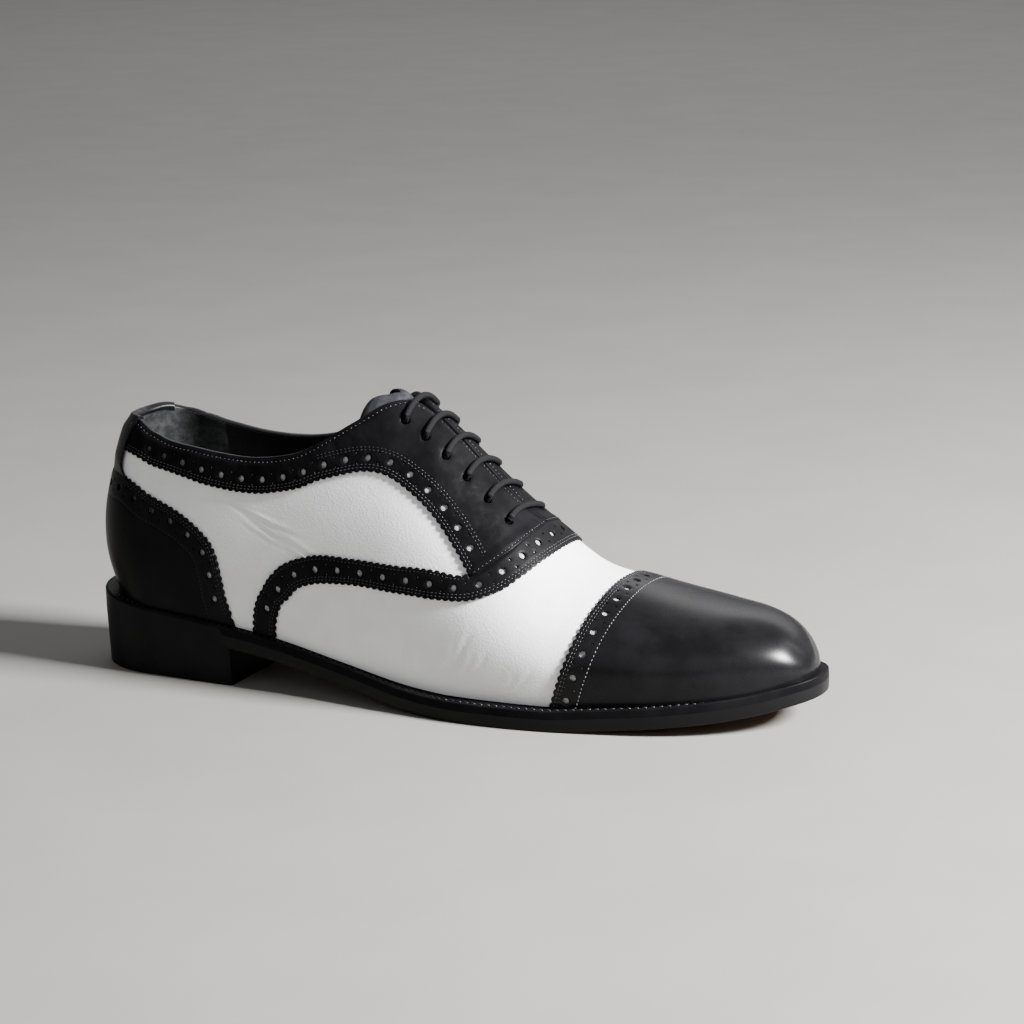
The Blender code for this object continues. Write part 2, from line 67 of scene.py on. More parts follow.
# station, height of the topline, then of the throat's edge
topRows = [
    (0.000, 0.640), (0.060, 0.630), (0.125, 0.602), (0.193, 0.534), (0.230, 0.505), (0.265, 0.495),
    (0.300, 0.500), (0.333, 0.519), (0.361, 0.547), (0.391, 0.600), (0.420, 0.669), (0.438, 0.725),
    (0.455, 0.794), (0.468, 0.850), (0.480, 0.905), (0.490, 0.945), (0.502, 0.966), (0.530, 0.974),
    (0.570, 0.982), (0.600, 0.989)]
throatStation = 0.612

edgeHeight = last["outsoleThick"] + last["weltThick"]
heelArc = last["heelRadius"] * math.pi / 2
toeTip = last["shoeLength"] - last["tipGap"]
toeStart = toeTip - last["toeRadius"]
girthLength = heelArc + (toeStart - last["heelRadius"]) + last["toeRadius"] * math.pi / 2


def curveThrough(xs, ys, x):
    # cubic Hermite curve through the points, with the slope at each from its neighbours
    xs = np.asarray(xs, float)
    ys = np.asarray(ys, float)
    slopes = np.gradient(ys, xs)
    x = np.clip(x, xs[0], xs[-1])
    i = np.clip(np.searchsorted(xs, x) - 1, 0, len(xs) - 2)
    h = xs[i + 1] - xs[i]
    t = (x - xs[i]) / h
    rise = (1 + 2 * t) * (1 - t) ** 2 * ys[i] + t * t * (3 - 2 * t) * ys[i + 1]
    return rise + t * (1 - t) * h * ((1 - t) * slopes[i] - t * slopes[i + 1])


def column(rows, index, x):
    return curveThrough([row[0] * last["shoeLength"] for row in rows], [row[index] for row in rows], x)


def lookUp(rows, x, index=1):
    return curveThrough([row[0] for row in rows], [row[index] for row in rows], x)


def runAlong(path):
    # the distance walked along a path, 0 at its first point
    return np.append(0, np.cumsum(np.linalg.norm(np.diff(path, axis=0), axis=1)))


def pointAt(x, run, path):
    # a path's points at the given runs
    return np.stack([np.interp(x, run, path[:, k]) for k in range(path.shape[1])], -1)


def unit(vectors):
    return vectors / (np.linalg.norm(vectors, axis=-1, keepdims=True) + 1e-12)


def smoothStep(x, low, high):
    t = np.clip((x - low) / (high - low), 0, 1)
    return t * t * (3 - 2 * t)


def roundOff(x, start, end, power):
    # 1 up to start, then (1 - t^p)^(1/p) down to 0 at end
    t = np.clip((x - start) / (end - start), 0, 1)
    return np.clip(1 - t ** power, 0, 1) ** (1 / power)


def soleBottom(x):
    # heel pitch plus toe spring, never below the floor
    rise = last["heelHeight"] * column(soleRows, 3, x) + last["toeSpring"] * column(soleRows, 4, x)
    first = soleRows[0][0] * last["shoeLength"]
    seat = last["heelHeight"] * (1 - soleRows[0][3]) * np.clip((first - x) / first, 0, 1)
    return np.maximum(rise + seat, 0)


def soleHalf(x, side):
    # share of the ball width, closed by a round heel and a superelliptic toe
    share = column(soleRows, 1 if side < 0 else 2, np.maximum(x, last["heelRadius"]))
    heel = np.sqrt(np.clip(1 - np.clip(1 - x / last["heelRadius"], 0, 1) ** 2, 0, 1))
    return last["ballWidth"] * share * heel * roundOff(x, 0.80 * last["shoeLength"], last["shoeLength"], 2.3)


def halfSection(around, half, ridgeHalf, inset, widest, ridge, power):
    # a parabola from the feather out to the widest point, then a superellipse up to the ridge
    v = 1 - np.abs(around)
    low = np.clip(v / last["widestAt"], 0, 1)
    turn = np.clip((v - last["widestAt"]) / (1 - last["widestAt"]), 0, 1) * math.pi / 2
    out = half - inset * (1 - low) ** 2 - ridgeHalf * (1 - np.clip(np.cos(turn), 0, 1) ** (2 / power))
    upper = widest + (ridge - widest) * np.sin(turn) ** (2 / power)
    rise = np.where(v < last["widestAt"], widest * low, upper)
    return out, rise


def lastPoint(station, around):
    # a point of the last: station 0 at the back seam to 1 at the tip, around -1 lateral, 0 ridge, 1 medial;
    # a negative station is the same place on the other side
    station, around = np.broadcast_arrays(np.asarray(station, float), np.asarray(around, float))
    around = np.where(station < 0, -around, around)
    run = np.abs(station) * girthLength
    turn = np.minimum(run / last["heelRadius"], math.pi / 2)
    tipTurn = np.clip((run - heelArc - (toeStart - last["heelRadius"])) / last["toeRadius"], 0, math.pi / 2)
    straight = last["heelRadius"] + np.maximum(run - heelArc, 0)
    x = np.where(tipTurn > 0, toeStart + last["toeRadius"] * np.sin(tipTurn), straight)
    side = np.where(around < 0, -1.0, 1.0)
    narrow = roundOff(x, 0.80 * last["shoeLength"], toeTip, 2.3)
    lower = roundOff(x, 0.88 * last["shoeLength"], toeTip, 2.4)
    lateral = last["ballWidth"] * column(upperRows, 1, x)
    medial = last["ballWidth"] * column(upperRows, 2, x)
    ridgeY = 0.5 * (medial - lateral) * narrow
    half = np.where(side < 0, lateral, medial) * narrow
    inset = last["featherInset"] * (0.6 + 0.4 * np.cos(2 * turn)) * narrow
    widest = last["instepHeight"] * column(upperRows, 3, x) * lower
    ridge = last["instepHeight"] * column(upperRows, 4, x) * lower
    out, rise = halfSection(around, half, half - side * ridgeY, inset, widest, ridge, column(upperRows, 5, x))
    backOut, backRise = halfSection(around, last["backRadius"], last["backRadius"], last["featherInset"],
                                    last["instepHeight"] * last["backWidest"],
                                    last["instepHeight"] * last["backRidge"], 2.0)
    share = np.sin(turn) ** 2
    out = out * share + backOut * (1 - share)
    rise = rise * share + backRise * (1 - share)
    px = np.where(turn < math.pi / 2, last["heelRadius"] - out * np.cos(turn), x)
    py = side * out * np.sin(turn)
    place = np.stack([px, py, rise + soleBottom(px) + edgeHeight + last["seatGap"]], -1)
    return place - np.array([last["heelLength"] / 2, 0, 0])


def lastFrame(station, around):
    # the point, its two unit-step derivatives and the outward normal
    s = np.minimum(station, 0.9975)
    step = 0.0012
    q = np.clip(around, -0.985, 0.985)
    along = (lastPoint(s + step, around) - lastPoint(s - step, around)) / (2 * step)
    across = (lastPoint(s, q + 0.012) - lastPoint(s, q - 0.012)) / 0.024
    normal = unit(np.cross(along, across))
    tip = np.clip((np.asarray(station) - 0.975) / 0.025, 0, 1)[..., None] ** 2
    return along, across, unit(normal * (1 - tip) + np.array([1.0, 0, 0]) * tip)


settle = {"lace": 0.0020, "laceFrom": (0.445, 0.500), "laceTo": (0.606, 0.640),
          "back": 0.0026, "toe": 0.0019}


def settled(station, around):
    # how far all the layers sink together: under the lace, round the top of the heel and over the toe
    q = np.abs(around)
    laced = smoothStep(station, *settle["laceFrom"]) * (1 - smoothStep(station, *settle["laceTo"]))
    dip = settle["lace"] * laced * (1 - smoothStep(q, np.where(around > 0, 0.12, 0.03), 0.36))
    back = smoothStep(1 - q, 0.24, 0.52) * (1 - smoothStep(np.abs(station), 0.03, 0.15))
    toe = smoothStep(station, 0.70, 0.86) * (1 - smoothStep(station, 0.955, 1.0))
    toe = toe * (1 - smoothStep(q, 0.30, 0.85))
    return dip + settle["back"] * back + settle["toe"] * toe


def lastOffset(station, around, out):
    # the last's point moved out along its normal, and never down into the welt
    station, around, out = np.broadcast_arrays(*(np.asarray(a, float) for a in (station, around, out)))
    out = out - settled(station, around)
    moved = lastPoint(station, around) + lastFrame(station, around)[2] * out[..., None]
    seat = soleBottom(moved[..., 0] + last["heelLength"] / 2) + edgeHeight
    moved[..., 2] = np.maximum(moved[..., 2], seat)
    return moved


# how far the finished topline stands above the table: station, lateral, medial
rimRows = [
    (0.000, 0.029, 0.029), (0.022, 0.025, 0.026), (0.045, 0.016, 0.017), (0.060, 0.010, 0.008),
    (0.080, 0.002, -0.006), (0.100, -0.004, -0.021), (0.120, -0.004, -0.030), (0.140, -0.007, -0.024),
    (0.160, -0.008, -0.015), (0.180, -0.012, -0.018), (0.200, -0.010, -0.020), (0.220, -0.004, -0.019),
    (0.250, 0.000, -0.015), (0.300, 0.000, -0.008), (0.350, 0.000, -0.002), (0.390, 0.000, 0.000)]


def rimShift(station, side):
    # zero from the lacing forward
    inside = np.clip(np.asarray(station, float), 0, rimRows[-1][0])
    return lookUp(rimRows, inside, 1 if side < 0 else 2)


def topHeight(station, side=-1):
    # height of the open edge over each station: topline, then throat, then closed
    station = np.asarray(station, float)
    tops = lookUp(topRows, station) + rimShift(station, side)
    reach = np.clip((station - topRows[-1][0]) / (throatStation - topRows[-1][0]), 0, 1)
    return np.where(station > topRows[-1][0], tops + (1 - tops) * reach, tops)


# Mesh helpers
def turnedOut(piece):
    # doubles merged and every face turned outwards
    shape = bmesh.new()
    shape.from_mesh(piece.data)
    bmesh.ops.remove_doubles(shape, verts=shape.verts, dist=0.000004)
    bmesh.ops.dissolve_degenerate(shape, edges=shape.edges, dist=0.000002)
    bmesh.ops.recalc_face_normals(shape, faces=shape.faces)
    if shape.calc_volume(signed=True) < 0:
        bmesh.ops.reverse_faces(shape, faces=shape.faces)
    shape.to_mesh(piece.data)
    shape.free()
    return piece


def addMesh(name, points, quads, uv=None, sharp=40):
    # points (n, 3) and quads (m, 4) as arrays; a quad with two equal corners becomes a triangle
    points = np.asarray(points, float).reshape(-1, 3)
    quads = np.asarray(quads, int)
    used, inverse = np.unique(quads, return_inverse=True)
    quads = inverse.reshape(quads.shape)
    mesh = bpy.data.meshes.new(name)
    mesh.vertices.add(len(used))
    mesh.vertices.foreach_set("co", points[used].ravel())
    mesh.loops.add(quads.size)
    mesh.loops.foreach_set("vertex_index", quads.ravel())
    mesh.polygons.add(len(quads))
    mesh.polygons.foreach_set("loop_start", np.arange(len(quads)) * 4)
    mesh.polygons.foreach_set("use_smooth", np.ones(len(quads), bool))
    if uv is not None:
        layer = mesh.uv_layers.new(name="UVMap")
        layer.data.foreach_set("uv", np.asarray(uv, float).reshape(-1, 2)[used][quads.ravel()].ravel())
    mesh.update(calc_edges=True)
    mesh.validate()
    mesh.set_sharp_from_angle(angle=math.radians(sharp))
    piece = bpy.data.objects.new(name, mesh)
    bpy.context.scene.collection.objects.link(piece)
    return turnedOut(piece)


def gridQuads(rows, cols, closedCols=False):
    # quads over a grid of points, wrapped round across its columns if asked
    ids = np.arange(rows * cols).reshape(rows, cols)
    if closedCols:
        ids = np.concatenate([ids, ids[:, :1]], 1)
    return np.stack([ids[:-1, :-1], ids[1:, :-1], ids[1:, 1:], ids[:-1, 1:]], -1).reshape(-1, 4)


def closedSheet(name, outer, inner, keep=None, flip=False):
    # outer and inner grids joined by walls along every open edge of the kept quads
    rows, cols = outer.shape[:2]
    count = rows * cols
    quads = gridQuads(rows, cols)
    if keep is not None:
        quads = quads[keep.ravel()]
    edges = np.stack([quads, np.roll(quads, -1, 1)], -1).reshape(-1, 2)
    key = np.sort(edges, 1)
    _, first, times = np.unique(key[:, 0] * count + key[:, 1], return_index=True, return_counts=True)
    rim = edges[first[times == 1]]
    walls = np.stack([rim[:, 1], rim[:, 0], rim[:, 0] + count, rim[:, 1] + count], -1)
    everything = np.concatenate([quads, quads[:, ::-1] + count, walls])
    if flip:
        everything = everything[:, ::-1]
    points = np.concatenate([outer.reshape(-1, 3), inner.reshape(-1, 3)])
    return addMesh(name, points, everything)


# Shader helpers
class Wire:
    # a socket in a material; sums, differences and products on it add Math nodes
    def __init__(self, finish, socket):
        self.finish = finish
        self.socket = socket

    def math(self, operation, *values):
        return self.finish.node("Math", {"operation": operation}, {i: v for i, v in enumerate(values)})[0]

    def __add__(self, other):
        return self.math("ADD", self, other)

    def __radd__(self, other):
        return self.math("ADD", other, self)

    def __sub__(self, other):
        return self.math("SUBTRACT", self, other)

    def __rsub__(self, other):
        return self.math("SUBTRACT", other, self)

    def __mul__(self, other):
        return self.math("MULTIPLY", self, other)

    def __rmul__(self, other):
        return self.math("MULTIPLY", other, self)


class Finish:
    # one material; node() makes any node from its type, settings and socket values
    def __init__(self, name, baseColor, roughness, **constants):
        self.material = bpy.data.materials.new(name)
        self.material.use_nodes = True
        self.tree = self.material.node_tree
        self.shader = self.tree.nodes["Principled BSDF"]
        self.shader.inputs["Base Color"].default_value = (*baseColor, 1)
        self.shader.inputs["Roughness"].default_value = roughness
        for key, value in constants.items():
            self.shader.inputs[key.replace("_", " ")].default_value = value
        self.material.diffuse_color = (*baseColor, 1)
        self.place = self.node("TexCoord")["Object"]

    def node(self, kind, settings=None, values=None):
        made = self.tree.nodes.new("ShaderNode" + kind)
        for key, value in (settings or {}).items():
            if key == "stops":
                ramp = made.color_ramp
                while len(ramp.elements) < len(value):
                    ramp.elements.new(0.5)
                for element, (position, color) in zip(ramp.elements, value):
                    element.position = position
                    element.color = (*color, 1) if len(color) == 3 else color
            else:
                setattr(made, key, value)
        for key, value in (values or {}).items():
            if isinstance(value, Wire):
                self.tree.links.new(value.socket, made.inputs[key])
            else:
                made.inputs[key].default_value = value
        return Outputs(self, made)

    def feed(self, key, wire):
        self.tree.links.new(wire.socket, self.shader.inputs[key])

    def noise(self, scale, detail=2.0, roughness=0.5):
        return self.node("TexNoise", {}, {"Vector": self.place, "Scale": scale, "Detail": detail,
                                          "Roughness": roughness})["Fac"]

    def ramp(self, wire, low, high):
        # 0 below low, 1 above high, smooth between
        return self.node("MapRange", {"interpolation_type": "SMOOTHSTEP"},
                         {"Value": wire, "From Min": low, "From Max": high})[0]

    def blendColor(self, share, first, second):
        return self.node("Mix", {"data_type": "RGBA"}, {0: share, 6: first, 7: second})[2]

    def bump(self, height, distance, strength=1.0, normal=None):
        values = {"Height": height, "Distance": distance, "Strength": strength}
        if normal is not None:
            values["Normal"] = normal
        return self.node("Bump", {}, values)["Normal"]


class Outputs:
    # a node's output sockets by name or number
    def __init__(self, finish, made):
        self.finish = finish
        self.made = made

    def __getitem__(self, key):
        return Wire(self.finish, self.made.outputs[key])


def wear(piece, finish, slotName, *nodes):
    # gives a piece its finish and its place in the frame
    piece.data.materials.clear()
    piece.data.materials.append(finish.material)
    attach(piece, "root")
    if nodes:
        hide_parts(*nodes)


# Leathers
leather = {
    "white": (0.795, 0.800, 0.812), "whiteRoughness": 0.44, "whiteGrain": 0.00010,
    "black": (0.0030, 0.0029, 0.0033), "blackRoughness": 0.36, "blackGrain": 0.00005,
    "capRoughness": 0.245}


def whiteLeather():
    # smooth calf: fine pebbles under a thin finish, a little dust in the pores
    f = Finish("whiteCalf", leather["white"], leather["whiteRoughness"], Specular_IOR_Level=0.45)
    pebbles = f.node("TexVoronoi", {"feature": "SMOOTH_F1"},
                     {"Vector": f.place, "Scale": 1150.0, "Smoothness": 0.6})["Distance"]
    wander = f.noise(90.0, 3.0)
    fine = f.noise(2600.0, 2.0)
    tone = f.blendColor(f.ramp(wander, 0.3, 0.7), (0.755, 0.757, 0.765, 1), (*leather["white"], 1))
    f.feed("Base Color", tone)
    f.feed("Roughness", 0.36 + wander * 0.14)
    height = pebbles * 0.7 + fine * 0.35 + wander * 0.8
    f.feed("Normal", f.bump(height, leather["whiteGrain"], 0.75))
    return f


def blackLeather(name, roughness, grain, coat, blotch=0.10, gloss=0.16, waver=0.0):
    # waxed calf: near black, faint cloudy wax over a very fine grain
    f = Finish(name, leather["black"], roughness, Specular_IOR_Level=gloss, Coat_Roughness=0.28)
    f.shader.inputs["Coat Weight"].default_value = coat
    cloud = f.noise(55.0, 4.0, 0.6)
    fine = f.noise(1800.0, 3.0, 0.6)
    pores = f.node("TexVoronoi", {"feature": "F1"}, {"Vector": f.place, "Scale": 1500.0})["Distance"]
    tone = f.blendColor(f.ramp(cloud, 0.3, 0.75), (0.0022, 0.0021, 0.0024, 1), (0.0050, 0.0048, 0.0056, 1))
    f.feed("Base Color", tone)
    f.feed("Roughness", (roughness - blotch * 0.5) + cloud * blotch + fine * 0.06)
    soft = f.bump(f.noise(95.0, 2.0, 0.5), waver, 0.9) if waver else None
    f.feed("Normal", f.bump(pores * 0.5 + fine * 0.6, grain, 0.7, soft))
    return f


whiteCalf = whiteLeather()


def peekFinish():
    # the white seen down the holes, painted grey as shade inside them, and painted darker still towards the
    # heel as deeper shade
    f = Finish("peekCalf", (0.50, 0.50, 0.50), 0.34)
    ahead = f.node("SeparateXYZ", {}, {0: f.place})["X"]
    holeShadeGrey = f.blendColor(f.ramp(f.noise(900.0), 0.3, 0.7), (0.20, 0.20, 0.205, 1), (0.44, 0.44, 0.45, 1))
    # painted shade: the holes' colour runs to near black towards the heel
    f.feed("Base Color", f.blendColor(f.ramp(ahead, -0.004, 0.040), (0.015, 0.015, 0.015, 1), holeShadeGrey))
    return f


peekCalf = peekFinish()
blackCalf = blackLeather("blackCalf", leather["blackRoughness"], leather["blackGrain"], 0.0)
capCalf = blackLeather("capCalf", leather["capRoughness"], 0.00002, 0.04, 0.05, 0.13)


def liningFinish(name, low, high, scale, grain):
    f = Finish(name, high, 0.8, Specular_IOR_Level=0.15)
    cloud = f.noise(scale, 5.0, 0.65)
    f.feed("Base Color", f.blendColor(f.ramp(cloud, 0.35, 0.7), (*low, 1), (*high, 1)))
    f.feed("Normal", f.bump(f.noise(scale * 12, 3.0), grain, 0.8))
    return f


darkLining = liningFinish("darkLining", (0.0025, 0.0025, 0.0030), (0.0070, 0.0070, 0.0080), 60.0, 0.00008)
greySuede = liningFinish("greySuede", (0.009, 0.0092, 0.0095), (0.028, 0.029, 0.030), 300.0, 0.00020)
tongueSuede = liningFinish("tongueSuede", (0.009, 0.009, 0.0105), (0.022, 0.022, 0.026), 420.0, 0.00015)
sockLeather = liningFinish("sockLeather", (0.006, 0.006, 0.006), (0.012, 0.012, 0.012), 80.0, 0.00008)
counterCalf = blackLeather("counterCalf", 0.32, 0.00003, 0.0, 0.06, 0.07)
facingCalf = blackLeather("facingCalf", 0.36, 0.00006, 0.0, 0.16, 0.03, 0.0010)
stripCalf = blackLeather("stripCalf", 0.44, 0.00006, 0.0, 0.10, 0.06)
bindingCalf = blackLeather("bindingCalf", 0.36, 0.00003, 0.0, 0.08, 0.16)
edgeInk = blackLeather("edgeInk", 0.40, 0.00003, 0.0, 0.08, 0.03)
heelInk = blackLeather("heelInk", 0.42, 0.00004, 0.0, 0.08, 0.09)


def soleFinish():
    # brown leather below, black ink on the edge: the mix follows how far a face looks down
    f = Finish("soleLeather", (0.25, 0.12, 0.05), 0.45, Specular_IOR_Level=0.11)
    down = f.node("SeparateXYZ", {}, {0: f.node("NewGeometry")["Normal"]})["Z"]
    grain = f.noise(120.0, 5.0, 0.6)
    brown = f.blendColor(f.ramp(grain, 0.3, 0.7), (0.11, 0.052, 0.025, 1), (0.17, 0.085, 0.042, 1))
    f.feed("Base Color", f.blendColor(f.ramp(down * -1.0, 0.75, 0.95), (0.0035, 0.0034, 0.0038, 1), brown))
    f.feed("Roughness", 0.34 + grain * 0.12)
    f.feed("Normal", f.bump(grain, 0.00006, 0.6))
    return f


def laceFinish():
    # round braid: a crossing weave on the lace's own UV
    f = Finish("laceCotton", (0.008, 0.008, 0.009), 0.60, Specular_IOR_Level=0.06)
    uv = f.node("SeparateXYZ", {}, {0: f.node("TexCoord")["UV"]})
    u, v = uv["X"], uv["Y"]
    # eight strands each way round the lace: the sine of 2 pi (8 u + v) times that of 2 pi (8 u - v)
    weave = u.math("SINE", u * 50.265 + v * 6.2832) * u.math("SINE", u * 50.265 - v * 6.2832)
    # painted highlight and painted shade: the colour runs lighter on the weave's crests and darker in its
    # hollows
    f.feed("Base Color", f.blendColor(f.ramp(weave, -0.5, 0.6), (0.002, 0.002, 0.0025, 1),
                                      (0.009, 0.009, 0.010, 1)))
    f.feed("Normal", f.bump(weave, 0.00012, 0.8))
    return f


soleLeather = soleFinish()
laceCotton = laceFinish()
print("leathers ready")

# Camera: the photograph's angle and distance, fitted to the shoe's outline
view = {"azimuth": 25.0, "elevation": 13.5, "roll": -1.5, "distance": 1.2, "focalPixels": 3187.0,
        "target": (0.1415, 0.0, 0.0700)}


def makeCamera():
    # right, up and back axes from azimuth and elevation, then turned by the roll
    a = math.radians(view["azimuth"])
    e = math.radians(view["elevation"])
    r = math.radians(view["roll"])
    forward = Vector((-math.sin(a) * math.cos(e), math.cos(a) * math.cos(e), -math.sin(e)))
    right = Vector((math.cos(a), math.sin(a), 0))
    up = right.cross(forward)
    right, up = right * math.cos(r) + up * math.sin(r), up * math.cos(r) - right * math.sin(r)
    lens = bpy.data.cameras.new("photoCamera")
    lens.sensor_width = 36
    lens.lens = 36 * view["focalPixels"] / 1024
    camera = bpy.data.objects.new("photoCamera", lens)
    place = Matrix((right, up, -forward)).transposed().to_4x4()
    place.translation = Vector(view["target"]) - forward * view["distance"]
    camera.matrix_world = place
    bpy.context.scene.collection.objects.link(camera)
    bpy.context.scene.camera = camera


makeCamera()

# Floor and light: a pale floor, a window-like lamp ahead of the toe and soft light all round
studio = {"floorTone": (0.176, 0.168, 0.156), "world": 0.27, "floorHalf": 9.0,
          "target": (0.115, 0.0, 0.04),
          # name, direction from what it lights, distance, width, height, power,
          # then the place it lights if that isn't the shoe
          "lamps": [("toeWindow", (0.85, 0.00, 0.53), 1.3, 0.30, 0.30, 158.0, None),
                    ("backWindow", (0.00, 0.80, 0.60), 2.5, 3.4, 2.2, 8.0, None),
                    ("nearFill", (-0.10, -1.0, 0.70), 2.3, 2.8, 1.8, 9.0, None),
                    ("farFloor", (0.00, -0.05, 1.0), 1.9, 4.5, 2.2, 52.0, (-0.4, 3.4, 0.0))]}


def makeStudio():
    far = studio["floorHalf"]
    mesh = bpy.data.meshes.new("studioFloor")
    mesh.from_pydata([(-far, -far, 0), (far, -far, 0), (far, far, 0), (-far, far, 0)], [], [(0, 1, 2, 3)])
    floor = bpy.data.objects.new("studioFloor", mesh)
    bpy.context.scene.collection.objects.link(floor)
    f = Finish("paleFloor", studio["floorTone"], 0.75)
    cloud = f.noise(14.0, 6.0, 0.6)
    low = tuple(c * 0.93 for c in studio["floorTone"])
    f.feed("Base Color", f.blendColor(f.ramp(cloud, 0.3, 0.7), (*low, 1), (*studio["floorTone"], 1)))
    mesh.materials.append(f.material)
    world = bpy.data.worlds.new("softRoom")
    world.use_nodes = True
    world.node_tree.nodes["Background"].inputs[0].default_value = (0.95, 0.97, 1.0, 1)
    world.node_tree.nodes["Background"].inputs[1].default_value = studio["world"]
    bpy.context.scene.world = world
    for name, direction, distance, wide, high, power, other in studio["lamps"]:
        lamp = bpy.data.lights.new(name, "AREA")
        lamp.shape = "RECTANGLE"
        lamp.size = wide
        lamp.size_y = high
        lamp.energy = power
        spot = bpy.data.objects.new(name, lamp)
        aim = Vector(direction).normalized()
        spot.location = Vector(other or studio["target"]) + aim * distance
        spot.rotation_euler = aim.to_track_quat("Z", "Y").to_euler()
        bpy.context.scene.collection.objects.link(spot)


makeStudio()
print("camera and studio ready")

# Upper: the white skin of vamp and quarters, with listed creases, and the lining inside it
skin = {"lateralStations": 350, "lateralRows": 138, "medialStations": 260, "medialRows": 48,
        "skinThick": 0.0011, "wall": 0.0022, "girth": 0.118, "lining": 22,
        "heelGripEnd": 0.192, "crowded": [(0.265, 0.390), (0.475, 0.535), (0.550, 0.675)],
        # creases: station, around, direction in degrees (0 along the shoe, 90 up the section),
        # then length, width and depth
        "creases": [
            (0.284, -0.612, -5, 0.026, 0.00045, 0.00015), (0.298, -0.628, -7, 0.036, 0.00045, 0.00021),
            (0.312, -0.628, -6, 0.034, 0.00042, 0.00017), (0.332, -0.652, -8, 0.044, 0.00045, 0.00021),
            (0.344, -0.648, -9, 0.034, 0.00042, 0.00016), (0.358, -0.674, -10, 0.040, 0.00045, 0.00019),
            (0.322, -0.668, -7, 0.030, 0.00042, 0.00013), (0.378, -0.684, -12, 0.030, 0.00042, 0.00014),
            (0.490, -0.845, 82, 0.018, 0.0010, 0.00012), (0.500, -0.835, 86, 0.026, 0.0010, 0.00016),
            (0.511, -0.850, 90, 0.022, 0.0010, 0.00014), (0.523, -0.840, 93, 0.018, 0.0010, 0.00011),
            (0.560, -0.800, 66, 0.024, 0.0011, 0.00014), (0.572, -0.770, 60, 0.030, 0.0012, 0.00018),
            (0.585, -0.820, 70, 0.022, 0.0011, 0.00014), (0.600, -0.790, 62, 0.020, 0.0011, 0.00012),
            (0.640, -0.860, 72, 0.018, 0.0012, 0.00012), (0.655, -0.830, 66, 0.022, 0.0012, 0.00012)]}


def creaseField(station, around):
    # each crease is a valley: -depth * exp(-(across/width)^2), faded out along its length
    along = np.asarray(station, float) * girthLength
    up = -np.abs(around) * skin["girth"]
    height = np.zeros(np.broadcast(station, around).shape)
    for s, q, angle, length, width, depth in skin["creases"]:
        a = math.radians(angle)
        dx = along - s * girthLength
        dy = up + abs(q) * skin["girth"]
        lengthwise = dx * math.cos(a) + dy * math.sin(a)
        bend = 0.12 * length * (lengthwise / length) ** 2
        crosswise = -dx * math.sin(a) + dy * math.cos(a) - bend
        fade = np.exp(-(lengthwise / (0.42 * length)) ** 4)
        sameSide = np.where(np.sign(around) == np.sign(q), 1.0, 0.6)
        height -= depth * sameSide * fade * np.exp(-(crosswise / width) ** 2)
        height += 0.6 * depth * sameSide * fade * np.exp(-((crosswise - 2.1 * width) / (1.4 * width)) ** 2)
    return height


def stationSteps(count):
    # denser round the heel, at the toe and where the creases lie
    even = np.linspace(0, 1, 4000)
    density = 1 + 0.35 * np.cos(2 * math.pi * even)
    for low, high in skin["crowded"]:
        density += 1.5 * smoothStep(even, low - 0.01, low) * (1 - smoothStep(even, high, high + 0.01))
    walked = np.append(0, np.cumsum(0.5 * (density[1:] + density[:-1])))
    return np.interp(np.linspace(0, walked[-1], count), walked, even)


def makeUpper():
    # the last's surface from feather to top edge, moved in by the creases, as one sheet a side
    for side, tag in ((-1, "lateral"), (1, "medial")):
        station = stationSteps(skin[tag + "Stations"])
        rows = skin[tag + "Rows"]
        climb = np.linspace(0, 1, rows)[None, :]
        tops = topHeight(station, side) - 0.004 * (1 - smoothStep(station, 0.604, 0.613))
        around = side * np.maximum(1 - tops[:, None] * climb, 1e-7)
        stations = station[:, None] + 0 * around
        keep, _ = punch(stations, around, eyeletHoles(side, eyelet["clear"]))
        outer = lastOffset(stations, around, creaseField(stations, around))
        inner = lastOffset(stations, around, -skin["skinThick"])
        piece = closedSheet("whiteSkin_" + tag, outer, inner, keep, flip=side > 0)
        wear(piece, whiteCalf, "white_leather", "upper")
        thinned = np.unique(np.concatenate([np.arange(0, len(station), 2), [len(station) - 1]]))
        station = station[thinned]
        tops = tops[thinned]
        around = side * np.maximum(1 - tops[:, None] * climb, 1e-7)
        mid = lastOffset(station[:, None], around, -skin["skinThick"] - 0.0001)
        deep = lastOffset(station[:, None], around, -skin["wall"])
        heel = int((station < skin["heelGripEnd"]).sum())
        picked = np.linspace(0, rows - 1, skin["lining"]).round().astype(int)
        for part, name, finish in ((slice(0, heel), "heelGrip_" + tag, greySuede),
                                   (slice(heel - 1, None), "lining_" + tag, darkLining)):
            lining = closedSheet(name, mid[part][:, picked], deep[part][:, picked], flip=side > 0)
            wear(lining, finish, "black_leather")


# Seams: each overlay is a grid between two edges, with the first edge's columns at even steps of leather
brogue = {"bigRadius": 0.00130, "smallRadius": 0.00050, "smallSide": 0.0019, "pitch": 0.0092,
          "holeDepth": 0.0054, "gimpPitch": 0.0028, "gimpDepth": 0.0010, "gimpFade": 0.0024,
          "thick": 0.0011, "under": 0.00005, "step": 0.00046, "bandDepth": 0.0125,
          "lip": 0.0007, "lipDeep": 0.0009,
          "edgeStitches": (0.0017, 0.0028), "edgeRoll": 0.00018, "rollReach": 0.0004,
          "groove": 0.00010, "grooveReach": 0.0004}
overlayTop = brogue["under"] + brogue["thick"]


def tableCurves(rows, count=900):
    # a table of paired edge points at even steps along the middle between its edges
    table = np.array(rows, float)
    middle = 0.5 * (table[:, :2] + table[:, 2:])
    run = np.append(0, np.cumsum(np.hypot(np.diff(middle[:, 0]) * girthLength,
                                          np.diff(middle[:, 1]) * last["instepHeight"])))
    t = np.linspace(0, run[-1], count)
    return np.stack([curveThrough(run, table[:, k], t) for k in range(4)], -1)


def signedTable(curves, side):
    # heights turned into around values on one side of the ridge
    out = curves.copy()
    out[:, 1] = side * (1 - curves[:, 1])
    out[:, 3] = side * (1 - curves[:, 3])
    return out


